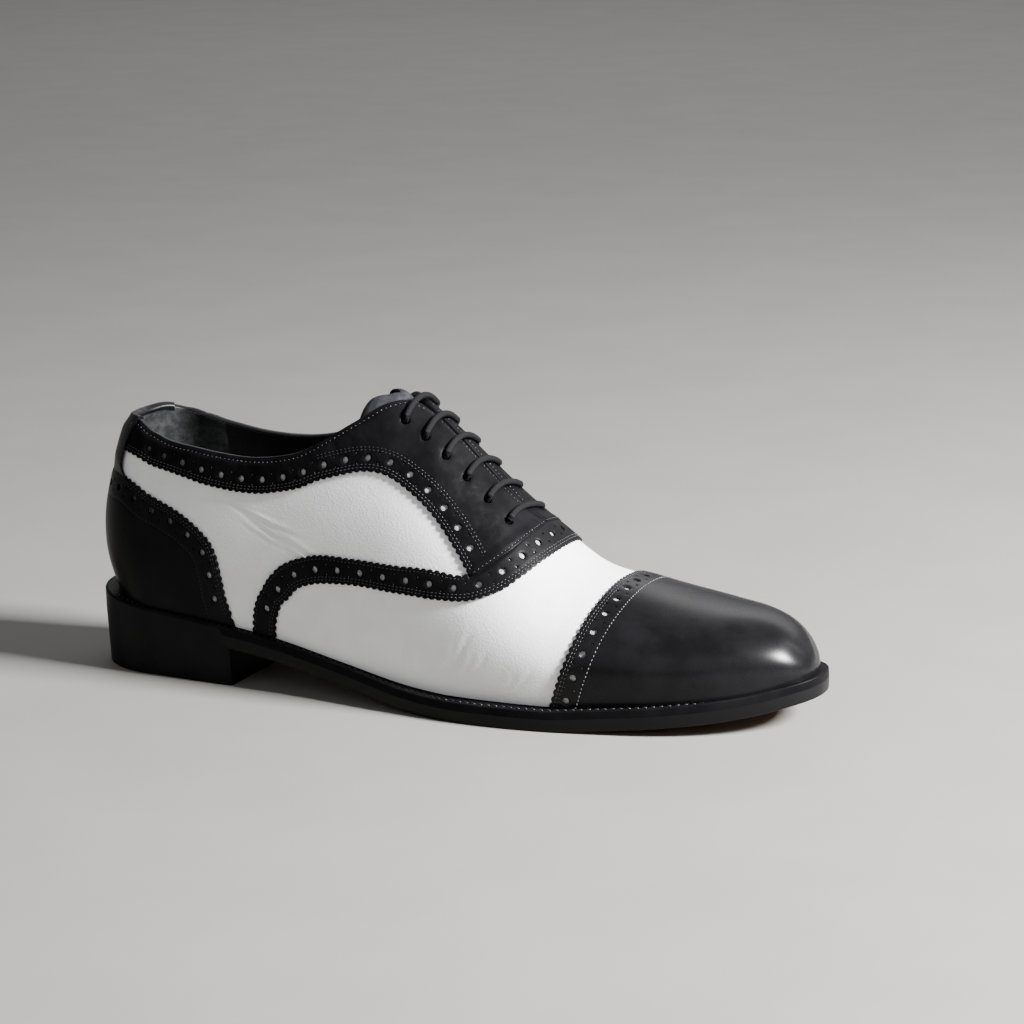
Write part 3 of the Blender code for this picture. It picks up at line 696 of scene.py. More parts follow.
class Edge:
    # a line on the last with its run in metres and the direction square to it in the leather
    def __init__(self, station, around, inward):
        place = lastPoint(station, around)
        run = runAlong(place)
        self.run = np.linspace(0, run[-1], int(run[-1] / brogue["step"]) + 2)
        self.length = run[-1]
        self.place = pointAt(self.run, run, place)
        self.s = np.interp(self.run, run, station)
        self.q = np.interp(self.run, run, around)
        tangent = unit(np.gradient(self.place, axis=0))
        self.inside = unit(np.cross(lastFrame(self.s, self.q)[2], tangent) * inward)

    def runAt(self, station, around):
        # the run at the point of the edge nearest to a place on the last
        gap = np.linalg.norm(self.place - lastPoint(station, around), axis=1)
        return float(self.run[np.argmin(gap)])

    def at(self, run, depth, steps=14):
        # walks in from the edge by depth metres of leather
        run = np.asarray(run, float)
        s = np.interp(run, self.run, self.s)
        q = np.interp(run, self.run, self.q)
        way = pointAt(run, self.run, self.inside)
        for _ in range(steps):
            s, q, way = stepOn(s, q, way, np.broadcast_to(depth, s.shape) / steps)
        return s, q


def stepOn(s, q, way, distance):
    # solves J (ds, dq) = distance * way, with way laid flat on the last first
    along, across, normal = lastFrame(s, q)
    way = unit(way - normal * np.sum(way * normal, -1, keepdims=True))
    aa, ab, bb = (np.sum(u * w, -1) for u, w in ((along, along), (along, across), (across, across)))
    da = np.sum(along * way, -1) * distance
    db = np.sum(across * way, -1) * distance
    det = aa * bb - ab * ab + 1e-14
    return s + (bb * da - ab * db) / det, q + (aa * db - ab * da) / det, way


def nearestRun(points, edge):
    # least distance of each point from an edge, and the run there, a row of the grid at a time
    distance = np.empty(points.shape[:2])
    run = np.empty(points.shape[:2])
    for i, row in enumerate(points):
        gap = np.sum((row[:, None] - edge.place[None]) ** 2, -1)
        best = np.argmin(gap, 1)
        distance[i] = np.sqrt(gap[np.arange(len(row)), best])
        run[i] = edge.run[best]
    return distance, run


def pairedGrid(curves, inward, restRows, bandDepth=None):
    # rows: close together down to the band's depth, then even on to the far edge
    bandDepth = bandDepth or brogue["bandDepth"]
    edge = Edge(curves[:, 0], curves[:, 1], inward)
    run = runAlong(lastPoint(curves[:, 0], curves[:, 1]))
    farS = np.interp(edge.run, run, curves[:, 2])
    farQ = np.interp(edge.run, run, curves[:, 3])
    chord = np.linalg.norm(lastPoint(farS, farQ) - edge.place, axis=1)
    reach = np.minimum(bandDepth, 0.85 * chord) / chord
    bandRows = int(bandDepth / brogue["step"]) + 1
    rest = np.linspace(0, 1, restRows + 1)[1:, None]
    share = np.concatenate([np.linspace(0, 1, bandRows)[:, None] * reach, reach + (1 - reach) * rest])
    s = edge.s[None] * (1 - share) + farS[None] * share
    q = edge.q[None] * (1 - share) + farQ[None] * share
    return s, q, edge, farS, farQ


def gimp(run):
    # teeth along an edge: a rounded saw, 0 at the tips and the full depth in the notches
    return brogue["gimpDepth"] * (1 - np.abs(np.sin(math.pi * run / brogue["gimpPitch"])) ** 0.8)


def cutTeeth(s, q, edge, distance, run, where=1.0):
    # moves the grid in by the teeth, fading to nothing a little way inside the edge
    shift = gimp(run) * (1 - smoothStep(distance, 0, brogue["gimpFade"])) * where
    return stepOn(s, q, pointAt(run, edge.run, edge.inside), shift)[:2]


def punch(s, q, holes):
    # opens round holes: quads whose middle lies within the radius go, and their rims are set on the circle;
    # gives the quads to keep, and how far the leather sinks round each hole
    keep = np.ones((s.shape[0] - 1, s.shape[1] - 1), bool)
    sink = np.zeros(s.shape)
    for holeS, holeQ, radius in holes:
        along, across, _ = lastFrame(np.array(holeS), np.array(holeQ))
        aa, ab, bb = along @ along, along @ across, across @ across
        near = np.abs(s - holeS) * math.sqrt(aa) < radius * 3.5
        near &= np.abs(q - holeQ) * math.sqrt(bb) < radius * 3.5
        rows = np.flatnonzero(near.any(1))
        cols = np.flatnonzero(near.any(0))
        if len(rows) < 2 or len(cols) < 2:
            continue
        r = slice(rows[0], rows[-1] + 1)
        c = slice(cols[0], cols[-1] + 1)
        ds, dq = s[r, c] - holeS, q[r, c] - holeQ
        dist = np.sqrt(np.maximum(aa * ds * ds + 2 * ab * ds * dq + bb * dq * dq, 1e-14))
        middle = 0.25 * (dist[:-1, :-1] + dist[1:, :-1] + dist[1:, 1:] + dist[:-1, 1:])
        gone = middle < radius
        keep[r.start:r.stop - 1, c.start:c.stop - 1] &= ~gone
        touch = np.zeros(dist.shape, bool)
        stay = np.zeros(dist.shape, bool)
        for i in (0, 1):
            for j in (0, 1):
                part = (slice(i, i + gone.shape[0]), slice(j, j + gone.shape[1]))
                touch[part] |= gone
                stay[part] |= ~gone
        scale = np.where(touch & stay, radius / dist, 1.0)
        lip = np.clip(1 - (dist - radius) / brogue["lip"], 0, 1) ** 2 * min(radius, brogue["lipDeep"])
        s[r, c] = holeS + ds * scale
        q[r, c] = holeQ + dq * scale
        sink[r, c] = np.maximum(sink[r, c], np.where(dist < radius + brogue["lip"], lip, 0))
    return keep, sink


def evenRuns(edge, depth, first, final, pitch=None, count=None):
    # runs of the edge whose places on the row at that depth lie at even steps, counted from the last hole
    fine = np.linspace(first, final, 400)
    walked = runAlong(lastPoint(*edge.at(fine, depth)))
    count = count or int(round(walked[-1] / pitch)) + 1
    return np.interp(np.linspace(0, walked[-1], count), walked, fine)


def holesAt(edge, runs, depth):
    # big holes at the runs, with a pair of small ones halfway to the next
    runs = np.asarray(runs, float)
    middles = 0.5 * (runs[1:] + runs[:-1])
    found = [(*edge.at(runs, depth), brogue["bigRadius"])]
    for side in (-1, 1):
        found.append((*edge.at(middles, depth + side * brogue["smallSide"]), brogue["smallRadius"]))
    return [(float(a), float(b), radius) for s, q, radius in found for a, b in zip(s, q)]


def grooves(distance, lines):
    # the stitches draw the leather down in a shallow valley along each row
    reach = brogue["grooveReach"]
    return sum(brogue["groove"] * np.exp(-((distance - line) / reach) ** 2) for line in lines)


def rolled(distance):
    # how far a cut edge turns down
    return brogue["edgeRoll"] * np.exp(-distance / brogue["rollReach"])


def leatherSheet(name, s, q, keep, top, under):
    # an overlay between two offsets of the last
    return closedSheet(name, lastOffset(s, q, top), lastOffset(s, q, under), keep)


# Stitches: short thread beads along a path
# the black thread is also drawn in two greyer tones: painted sheen and painted highlight where the waxed
# thread catches the light
thread = {"length": 0.00110, "radius": 0.00016, "pitch": 0.00165, "topPitch": 0.0019,
          "topLength": 0.0007, "sunk": 0.00006,
          "black": (0.006, 0.006, 0.007), "worn": (0.024, 0.024, 0.027), "light": (0.075, 0.075, 0.08)}


threadTop = overlayTop - thread["sunk"]


def threadFinish(name, tone):
    f = Finish(name, tone, 0.42)
    twist = f.noise(900.0, 2.0)
    dark = tuple(c * 0.35 for c in tone)
    f.feed("Base Color", f.blendColor(f.ramp(twist, 0.35, 0.65), (*dark, 1), (*tone, 1)))
    return f


blackThread = threadFinish("blackThread", thread["black"])
# grey copies of the black thread: painted sheen, then painted highlight
paintedSheenThread = threadFinish("paintedSheenThread", thread["worn"])
paintedGlintThread = threadFinish("paintedGlintThread", thread["light"])


def beads(path, up, pitch, length, radius):
    # a bead of five rings, radius * sqrt(1 - t^4) about its axis with its ends turned down,
    # repeated along a path
    run = runAlong(path)
    spots = np.arange(pitch / 2, run[-1] - pitch * 0.3, pitch)
    centre = pointAt(spots, run, path)
    tangent = unit(pointAt(spots + pitch * 0.25, run, path) - pointAt(spots - pitch * 0.25, run, path))
    up = unit(pointAt(spots, run, up))
    side = np.cross(up, tangent)
    t = np.array([-1.0, -0.62, 0.0, 0.62, 1.0])
    fat = np.sqrt(np.maximum(1 - t ** 4, 0.01))[:, None]
    turn = np.linspace(0, 2 * math.pi, 6)[None, :-1]
    lift = fat * np.sin(turn) + 0.25 - 1.1 * t[:, None] ** 2
    bead = (centre[:, None, None] + tangent[:, None, None] * (t * length / 2)[None, :, None, None]
            + side[:, None, None] * (fat * np.cos(turn))[None, ..., None] * radius
            + up[:, None, None] * lift[None, ..., None] * radius)
    ends = [[0, 1, 2, 3], [0, 3, 4, 0], [23, 22, 21, 20], [23, 20, 24, 23]]
    one = np.concatenate([gridQuads(5, 5, True), ends])
    quads = (one[None] + (np.arange(len(spots)) * 25)[:, None, None]).reshape(-1, 4)
    return bead.reshape(-1, 3), quads


def sew(name, rows, finish, pitch=None, length=None, radius=None):
    # several rows of stitches as one piece; each row is (stations, arounds, offset)
    points = []
    quads = []
    total = 0
    for s, q, out in rows:
        path = lastOffset(s, q, out)
        p, f = beads(path, lastFrame(s, q)[2], pitch or thread["pitch"], length or thread["length"],
                     radius or thread["radius"])
        points.append(p)
        quads.append(f + total)
        total += len(p)
    piece = addMesh(name, np.concatenate(points), np.concatenate(quads), sharp=180)
    wear(piece, finish, "black_leather")


eyelet = {"count": 6, "first": 0.6065, "last": 0.4817, "around": (0.196, 0.206), "radius": 0.00180,
          "slant": 0.006, "inner": 0.84, "clear": 0.0026}


def eyeletPlaces():
    # station and around of each pair of eyelets from the throat up, as they lie on the outer side
    return list(zip(np.linspace(eyelet["first"], eyelet["last"], eyelet["count"]),
                    np.linspace(*eyelet["around"], eyelet["count"])))


def eyeletHoles(side, radius):
    # the inner ones lie a slant further on and closer to the ridge
    if side < 0:
        return [(s, -q, radius) for s, q in eyeletPlaces()]
    return [(s + eyelet["slant"], q * eyelet["inner"], radius) for s, q in eyeletPlaces()]


makeUpper()
print("upper ready")

peeking = {"big": 0.00016, "small": 0.00060}


def peek(name, holes):
    # the white leather swells into each hole: a low dome of 3 rings, height * (1 - (r / radius)^2)
    share = np.array([0.0, 0.55, 0.95, 1.18])
    turn = np.linspace(0, 2 * math.pi, 9)[:-1]
    points = []
    for holeS, holeQ, radius in holes:
        along, across, normal = lastFrame(np.array(holeS), np.array(holeQ))
        u = along / np.linalg.norm(along)
        v = np.cross(normal, u)
        rise = peeking["big"] if radius > 0.001 else peeking["small"]
        height = rise * (1 - share ** 2) + 0.00002
        circle = np.cos(turn)[None, :, None] * u + np.sin(turn)[None, :, None] * v
        flat = radius * share[:, None, None] * circle
        points.append(lastOffset(holeS, holeQ, 0.0) + flat + height[:, None, None] * normal)
        points.append(lastOffset(holeS, holeQ, 0.0) + flat[-1:] - 0.0006 * normal)
    rings = np.stack([np.concatenate([points[k], points[k + 1]]) for k in range(0, len(points), 2)])
    one = gridQuads(5, 8, True)
    one = np.concatenate([one, [[39, 38, 37, 36], [39, 36, 35, 34], [39, 34, 33, 32]]])
    quads = (one[None] + (np.arange(len(rings)) * 40)[:, None, None]).reshape(-1, 4)
    wear(addMesh("peek_" + name, rings.reshape(-1, 3), quads), peekCalf, "white_leather")


# Toe cap
capRows = [
    # height, then the station of the seam
    (0.000, 0.6835), (0.100, 0.6890), (0.220, 0.6950), (0.340, 0.7024), (0.466, 0.7090),
    (0.604, 0.7145), (0.720, 0.7180), (0.850, 0.7200), (1.000, 0.7205)]
cap = {"firstHole": 0.0052, "inner": 0.0097, "rest": 30, "bandDepth": 0.0112, "seamRadius": 0.00021}


def makeCap():
    v = np.concatenate([np.linspace(0, 1, 300), np.linspace(1, 0, 300)[1:]])
    q = np.where(np.arange(599) < 300, -1.0, 1.0) * (1 - v)
    s = lookUp(capRows, v)
    curves = np.stack([s, q, np.ones(599), q], -1)
    gs, gq, edge, _, _ = pairedGrid(curves, -1, cap["rest"], cap["bandDepth"])
    distance, run = nearestRun(lastPoint(gs, gq), edge)
    gs, gq = cutTeeth(gs, gq, edge, distance, run)
    ends = cap["firstHole"], edge.length - cap["firstHole"]
    holes = holesAt(edge, evenRuns(edge, brogue["holeDepth"], *ends, brogue["pitch"]), brogue["holeDepth"])
    keep, sink = punch(gs, gq, holes)
    peek("cap", holes)
    top = overlayTop - rolled(distance) - 0.25 * sink
    top = top - grooves(distance, brogue["edgeStitches"] + (cap["inner"],))
    piece = leatherSheet("toeCap", gs, gq, keep, top, brogue["under"])
    wear(piece, capCalf, "black_leather", "toe_cap")
    a = np.linspace(0.001, edge.length - 0.001, 500)
    sew("capStitches", [(*edge.at(a, brogue["edgeStitches"][0]), threadTop)], paintedSheenThread)
    sew("capSeam", [(*edge.at(a, cap["inner"]), overlayTop - 0.00004)], paintedGlintThread, radius=cap["seamRadius"])
    sew("capStitchesDark", [(*edge.at(a, brogue["edgeStitches"][1]), overlayTop - 0.00008)], blackThread)


makeCap()
print("toe cap ready")

# Counter, round the back of the heel: negative stations are its lateral half
counterRows = [
    # gimped edge: station, height, then its foot on the feather line
    (0.000, 0.432, 0.000), (0.054, 0.430, 0.052), (0.108, 0.421, 0.100), (0.141, 0.400, 0.130),
    (0.168, 0.375, 0.158), (0.193, 0.353, 0.183), (0.214, 0.331, 0.205), (0.232, 0.308, 0.224),
    (0.245, 0.286, 0.240), (0.253, 0.255, 0.250), (0.2575, 0.215, 0.257), (0.262, 0.130, 0.264),
    (0.269, 0.050, 0.2715)]
counter = {"inner": 0.0104, "rest": 16, "firstHole": 0.0078}


def makeCounter():
    curves = tableCurves([(r[0], r[1], r[2], 0.0) for r in counterRows], 500)
    curves[:, 1] = 1 - curves[:, 1]
    curves[:, 3] = 1 - curves[:, 3]
    mirrored = curves[:0:-1] * np.array([-1, 1, -1, 1])
    curves = np.concatenate([mirrored, curves])
    gs, gq, edge, _, _ = pairedGrid(curves, 1, counter["rest"])
    distance, run = nearestRun(lastPoint(gs, gq), edge)
    gs, gq = cutTeeth(gs, gq, edge, distance, run)
    ends = counter["firstHole"], edge.length - counter["firstHole"]
    holes = holesAt(edge, evenRuns(edge, brogue["holeDepth"], *ends, brogue["pitch"]), brogue["holeDepth"])
    keep, sink = punch(gs, gq, holes)
    peek("counter", holes)
    top = overlayTop - rolled(distance) - 0.25 * sink
    top = top - grooves(distance, brogue["edgeStitches"]) - 1.4 * grooves(distance, (counter["inner"],))
    piece = leatherSheet("heelCounter", gs, gq, keep, top, brogue["under"])
    wear(piece, counterCalf, "black_leather", "counter")
    a = np.linspace(0.001, edge.length - 0.001, 500)
    sew("counterStitches", [(*edge.at(a, b), threadTop) for b in brogue["edgeStitches"]], blackThread)
    sew("counterSeam", [(*edge.at(a, counter["inner"]), overlayTop - 0.00018)], blackThread)


makeCounter()
print("counter ready")

# Facings with the collar band: gimped lower edge, then the plain front edge over the strip
facingRows = [
    # lower edge: station, height, then the topline or throat edge beside it
    (0.062, 0.506, 0.074, 0.626), (0.084, 0.499, 0.104, 0.611), (0.106, 0.492, 0.128, 0.600),
    (0.134, 0.479, 0.155, 0.575), (0.177, 0.450, 0.190, 0.537),
    (0.205, 0.432, 0.212, 0.518), (0.232, 0.418, 0.236, 0.502), (0.258, 0.414, 0.260, 0.496),
    (0.284, 0.416, 0.285, 0.497), (0.310, 0.425, 0.310, 0.504), (0.335, 0.442, 0.336, 0.521),
    (0.363, 0.468, 0.361, 0.547), (0.385, 0.499, 0.385, 0.589), (0.413, 0.535, 0.412, 0.650),
    (0.443, 0.574, 0.438, 0.725), (0.468, 0.597, 0.460, 0.815), (0.491, 0.601, 0.482, 0.912),
    (0.513, 0.596, 0.502, 0.966), (0.533, 0.585, 0.525, 0.973), (0.550, 0.566, 0.545, 0.978),
    (0.566, 0.540, 0.562, 0.980), (0.5835, 0.510, 0.578, 0.983), (0.6000, 0.575, 0.590, 0.987),
    (0.6160, 0.680, 0.603, 0.9895), (0.6245, 0.785, 0.6140, 0.9995), (0.6296, 0.910, 0.6225, 0.9995),
    (0.6306, 0.9995, 0.6300, 0.9999)]
facing = {"tip": (0.5835, 0.510), "firstHole": (0.177, 0.491), "lastHoleIn": 0.0088, "holes": 17,
          "frontReach": 0.0003, "frontRaise": 0.00052, "rest": 20,
          "topStitch": 0.0017, "slitStitch": 0.0014, "frontStitch": 0.0010,
          "innerStitch": 0.0083, "innerPair": 0.0011, "innerFrom": (0.392, 0.492),
          "slitFrom": (0.500, 0.036), "slitTo": (0.606, 0.0105), "raisedShare": 0.62, "topSunk": 0.00042}


def makeFacing(side, tag):
    curves = tableCurves(facingRows)
    curves[:, 3] += rimShift(curves[:, 2], side)
    if side > 0:
        curves[:, 1] += rimShift(curves[:, 0], side)
    curves = signedTable(curves, side)
    inward = 1 if side < 0 else -1
    gs, gq, edge, farS, farQ = pairedGrid(curves, inward, facing["rest"])
    tipRun = edge.runAt(facing["tip"][0], side * (1 - facing["tip"][1]))
    farEdge = Edge(farS, farQ, -inward)
    place = lastPoint(gs, gq)
    distance, run = nearestRun(place, edge)
    topDistance, _ = nearestRun(place, farEdge)
    slitRun = farEdge.runAt(facing["slitFrom"][0], side * facing["slitFrom"][1])
    front = run > tipRun
    gimped = np.where(front, 0.0, 1.0) * smoothStep(tipRun - run, 0, 0.0015)
    gs, gq = cutTeeth(gs, gq, edge, distance, run, gimped)
    # the front edge reaches out over the strip, thinned and lifted by the strip under it
    reachOut = -facing["frontReach"] * (1 - smoothStep(distance, 0, 0.004))
    reachOut = reachOut * smoothStep(run - tipRun, 0, 0.003)
    gs, gq, _ = stepOn(gs, gq, pointAt(run, edge.run, edge.inside), reachOut)
    firstRun = edge.runAt(facing["firstHole"][0], side * (1 - facing["firstHole"][1]))
    lastRun = tipRun - facing["lastHoleIn"]
    runs = evenRuns(edge, brogue["holeDepth"], firstRun, lastRun, count=facing["holes"])
    more = np.arange(firstRun - brogue["pitch"], 0.004, -brogue["pitch"])[::-1]
    holes = holesAt(edge, np.concatenate([more, runs]), brogue["holeDepth"])
    peek("facing_" + tag, holes)
    keep, sink = punch(gs, gq, holes + eyeletHoles(side, eyelet["radius"]))
    lift = np.where(front, 1.0, 0.0) * smoothStep(run - tipRun, 0, 0.004)
    lift = lift * (1 - smoothStep(distance, 0.0016, 0.0050))
    raised = facing["frontRaise"] * facing["raisedShare"]
    top = overlayTop + lift * raised - rolled(distance)
    top = top - 0.3 * sink - grooves(topDistance, (facing["topStitch"],))
    gimpSide = 1 - smoothStep(run - tipRun, -0.004, 0.001)
    top = top - gimpSide * grooves(distance, brogue["edgeStitches"])
    top = top - (1 - gimpSide) * grooves(distance, (facing["frontStitch"],))
    skive = 0.00055 * (1 - smoothStep(topDistance, 0, 0.0035))
    top = top - skive - 0.0003 * np.exp(-topDistance / brogue["rollReach"])
    under = brogue["under"] + lift * facing["frontRaise"]
    piece = leatherSheet("facing_" + tag, gs, gq, keep, np.maximum(top, under + 0.00025), under)
    wear(piece, facingCalf, "black_leather", "facing_" + tag)

    a = np.linspace(0.001, tipRun - 0.0012, 500)
    sew("facingGimpStitches_" + tag, [(*edge.at(a, b), threadTop) for b in brogue["edgeStitches"]],
        paintedSheenThread if side < 0 else blackThread)
    innerFirst = edge.runAt(facing["innerFrom"][0], side * facing["innerFrom"][1])
    inner = np.linspace(innerFirst, tipRun - 0.0022, 300)
    innerRows = [(*edge.at(inner, facing["innerStitch"] + extra), threadTop)
                 for extra in (0, facing["innerPair"])]
    sew("facingInnerStitches_" + tag, innerRows, paintedSheenThread)
    b = np.linspace(tipRun + 0.001, edge.length - 0.0005, 200)
    frontRow = edge.at(b, facing["frontStitch"] - facing["frontReach"])
    sew("facingFrontStitches_" + tag, [(*frontRow, overlayTop + raised)], blackThread,
        pitch=0.0018, length=0.00135)
    c = np.linspace(0.001, slitRun - 0.001, 400)
    sew("toplineStitches_" + tag, [(*farEdge.at(c, facing["topStitch"]), overlayTop - facing["topSunk"])],
        paintedGlintThread, pitch=thread["topPitch"], length=thread["topLength"])
    slitEnd = farEdge.runAt(facing["slitTo"][0], side * facing["slitTo"][1])
    slitRow = farEdge.at(np.linspace(slitRun + 0.0005, slitEnd, 200), facing["slitStitch"])
    sew("slitStitches_" + tag, [(*slitRow, overlayTop - facing["topSunk"])], blackThread)


makeFacing(-1, "lateral")
makeFacing(1, "medial")
print("facings ready")

# Vamp strip across the throat, its rear edge gimped only below the facings
stripRows = [
    # rear edge of the strip: station, height, then its front edge
    (0.296, 0.000, 0.328, 0.000), (0.3016, 0.134, 0.332, 0.108), (0.315, 0.233, 0.342, 0.195),
    (0.338, 0.290, 0.358, 0.247), (0.377, 0.338, 0.380, 0.278), (0.434, 0.375, 0.434, 0.317),
    (0.499, 0.417, 0.500, 0.352), (0.545, 0.462, 0.548, 0.386), (0.575, 0.496, 0.587, 0.433),
    (0.5945, 0.560, 0.617, 0.515), (0.6105, 0.662, 0.637, 0.638), (0.6195, 0.784, 0.649, 0.790),
    (0.6245, 0.900, 0.6535, 0.900), (0.6265, 1.000, 0.655, 1.000)]
strip = {"rows": 27, "footHole": (0.3176, -0.860), "ridgeHole": (0.6390, -0.034), "holes": 15,
         "tip": (0.581, 0.508), "edgeStitches": (0.0016, 0.0027), "skive": 0.00062}


def makeStrip():
    one = tableCurves(stripRows, 500)
    lateral = signedTable(one, -1)
    medial = signedTable(one, 1)[-2::-1]
    curves = np.concatenate([lateral, medial])
    rear = Edge(curves[:, 0], curves[:, 1], -1)
    front = Edge(curves[:, 2], curves[:, 3], 1)
    middle = Edge(curves[:, [0, 2]].mean(1), curves[:, [1, 3]].mean(1), -1)
    run = runAlong(lastPoint(curves[:, 2], curves[:, 3]))
    even = np.linspace(0, run[-1], int(run[-1] / brogue["step"]))
    table = np.stack([np.interp(even, run, curves[:, k]) for k in range(4)])
    share = np.linspace(0, 1, strip["rows"])[:, None]
    gs = table[0][None] * (1 - share) + table[2][None] * share
    gq = table[1][None] * (1 - share) + table[3][None] * share
    place = lastPoint(gs, gq)
    rearDistance, rearRun = nearestRun(place, rear)
    frontDistance, frontRun = nearestRun(place, front)
    tipLateral = rear.runAt(strip["tip"][0], strip["tip"][1] - 1)
    tipMedial = rear.runAt(strip["tip"][0], 1 - strip["tip"][1])
    bare = np.where((rearRun < tipLateral) | (rearRun > tipMedial), 1.0, 0.0)
    gs, gq = cutTeeth(gs, gq, front, frontDistance, frontRun)
    gs, gq = cutTeeth(gs, gq, rear, rearDistance, rearRun, bare)
    back = np.linspace(middle.runAt(*strip["footHole"]), middle.runAt(*strip["ridgeHole"]), strip["holes"])
    ahead = np.arange(back[-1] + back[1] - back[0], middle.length - 0.004, back[1] - back[0])
    holes = holesAt(middle, np.concatenate([back, ahead]), 0.0)
    keep, sink = punch(gs, gq, holes)
    peek("strip", holes)
    top = overlayTop - rolled(frontDistance) - rolled(rearDistance) - 0.25 * sink
    top = top - grooves(frontDistance, strip["edgeStitches"])
    top = top - bare * grooves(rearDistance, strip["edgeStitches"][:1])
    top = top - (1 - bare) * strip["skive"] * (1 - smoothStep(rearDistance, 0.0012, 0.0030))
    piece = leatherSheet("vampStrip", gs, gq, keep, top, brogue["under"])
    wear(piece, stripCalf, "black_leather", "vamp_strip")
    a = np.linspace(0.001, front.length - 0.001, 700)
    sew("stripFrontStitches", [(*front.at(a, b), threadTop) for b in strip["edgeStitches"]], paintedSheenThread)
    rows = [(0.001, tipLateral - 0.001), (tipMedial + 0.001, rear.length - 0.001)]
    sew("stripRearStitches", [(*rear.at(np.linspace(low, high, 300), strip["edgeStitches"][0]), threadTop)
                              for low, high in rows], blackThread)


makeStrip()
print("vamp strip ready")

# Back strap over the back seam, folded over the topline
strapRows = [
    # height, then how far the strap reaches round to each side
    (0.440, 0.1330), (0.455, 0.1130), (0.475, 0.1000), (0.505, 0.0985), (0.550, 0.1080), (0.603, 0.1230)]
strap = {"rows": 40, "across": 64, "proud": 0.0008, "fold": 0.0016, "thick": 0.0007, "skive": 0.0011,
         "foot": -0.00022, "medialCut": 0.22, "medialCutFrom": (0.52, 0.60), "over": 0.002, "inside": 0.0024,
         "arc": 0.009, "backHeight": 0.105, "footDrop": 0.012, "stitchIn": 0.0045}


def makeStrap():
    # up the back from the counter, half a turn over the topline, then down inside
    spread = np.linspace(-1, 1, strap["across"])[None, :]
    height = np.linspace(strapRows[0][0], strapRows[-1][0], strap["rows"])
    reach = lookUp(strapRows, height)
    narrow = 1 - strap["medialCut"] * smoothStep(height, *strap["medialCutFrom"])
    station = reach[:, None] * spread * np.where(spread > 0, narrow[:, None], 1.0)
    tops = np.where(station[-1] > 0, topHeight(np.abs(station[-1]), 1), topHeight(np.abs(station[-1]), -1))
    fold = tops[None, :] + strap["over"]
    low = lookUp(counterRows, np.abs(station[0])) - strap["footDrop"]
    share = ((height - height[0]) / (height[-1] - height[0]))[:, None]
    rise = low[None, :] * (1 - share) + fold * share
    risen = smoothStep(share, 0.0, 0.35)
    outward = overlayTop + strap["proud"] * risen + 0 * rise
    outward = outward + strap["foot"] * (1 - risen) - strap["skive"] * smoothStep(share, 0.72, 1)
    turns = np.linspace(0, math.pi, 12)[1:-1, None]
    half = 0.5 * (outward[-1:] + strap["inside"])
    arcRise = fold + strap["arc"] * np.sin(turns)
    arcOut = -strap["inside"] + half + half * np.cos(turns)
    insideRise = fold - np.linspace(0, strap["fold"], 8)[:, None] / strap["backHeight"]
    rise = np.concatenate([rise, arcRise, insideRise])
    out = np.concatenate([outward, arcOut + 0 * spread, np.full(insideRise.shape, -strap["inside"])])
    station = np.concatenate([station, np.repeat(station[-1:], len(rise) - len(station), 0)])
    around = 1 - rise
    outer = lastOffset(station, around, out)
    normal = unit(np.cross(np.gradient(outer, axis=0), np.gradient(outer, axis=1)))
    facingOut = np.sign(np.sum(normal[0] * lastFrame(station[0], around[0])[2]))
    inner = outer - normal * facingOut * strap["thick"]
    wear(closedSheet("backStrap", outer, inner), blackCalf, "black_leather", "back_strap")
    sides = []
    for end in (-1, 1):
        h = np.linspace(0.478, 0.590, 100)
        r = lookUp(strapRows, h)
        if end > 0:
            r = r * (1 - strap["medialCut"] * smoothStep(h, *strap["medialCutFrom"]))
        sides.append((end * (r - strap["stitchIn"]), 1 - h, threadTop + strap["proud"]))
    sew("strapStitches", sides, blackThread)


makeStrap()
print("back strap ready")

# Binding over the topline and the slit's edges: a thin folded edge carried along the open edge
binding = {"half": 0.00125, "crown": 0.00035, "belly": 0.0004, "middle": -0.00082, "samples": 520,
           "end": 0.6115, "ridgeGap": 0.0065}


def makeBinding():
    for side, tag in ((-1, "lateral"), (1, "medial")):
        station = np.linspace(0.0, binding["end"], binding["samples"])
        around = side * np.maximum(1 - topHeight(station, side), binding["ridgeGap"])
        place = lastOffset(station, around, binding["middle"])
        normal = lastFrame(station, around)[2]
        over = np.cross(unit(np.gradient(place, axis=0)), normal) * (1 if side < 0 else -1)
        over = over * np.sign(np.sum(over * lastFrame(station, around)[1] * -side, 1, keepdims=True))
        turn = np.linspace(0, 2 * math.pi, 13)[:-1]
        wide = np.cos(turn) * binding["half"]
        high = np.sin(turn) * np.where(np.sin(turn) > 0, binding["crown"], binding["belly"])
        ring = place[:, None] + normal[:, None] * wide[None, :, None] + over[:, None] * high[None, :, None]
        quads = gridQuads(len(station), 12, True)
        ends = np.array([[0, 1, 2, 3], [0, 3, 4, 5], [0, 5, 6, 7], [0, 7, 8, 9], [0, 9, 10, 11]])
        quads = np.concatenate([quads, ends, ends[:, ::-1] + (len(station) - 1) * 12])
        piece = addMesh("topBinding_" + tag, ring.reshape(-1, 3), quads, sharp=60)
        wear(piece, bindingCalf, "black_leather")


makeBinding()
print("binding ready")

# Tongue, seen a little above the facings and down the slit
tongueRows = [
    # around, then the station of the tongue's top edge
    (0.00, 0.465), (0.06, 0.461), (0.12, 0.454), (0.16, 0.445), (0.20, 0.436), (0.26, 0.428), (0.33, 0.423)]
tongue = {"foot": 0.640, "half": 0.330, "thick": 0.0020, "gap": 0.0006, "roll": 0.0010, "thin": 0.0006}


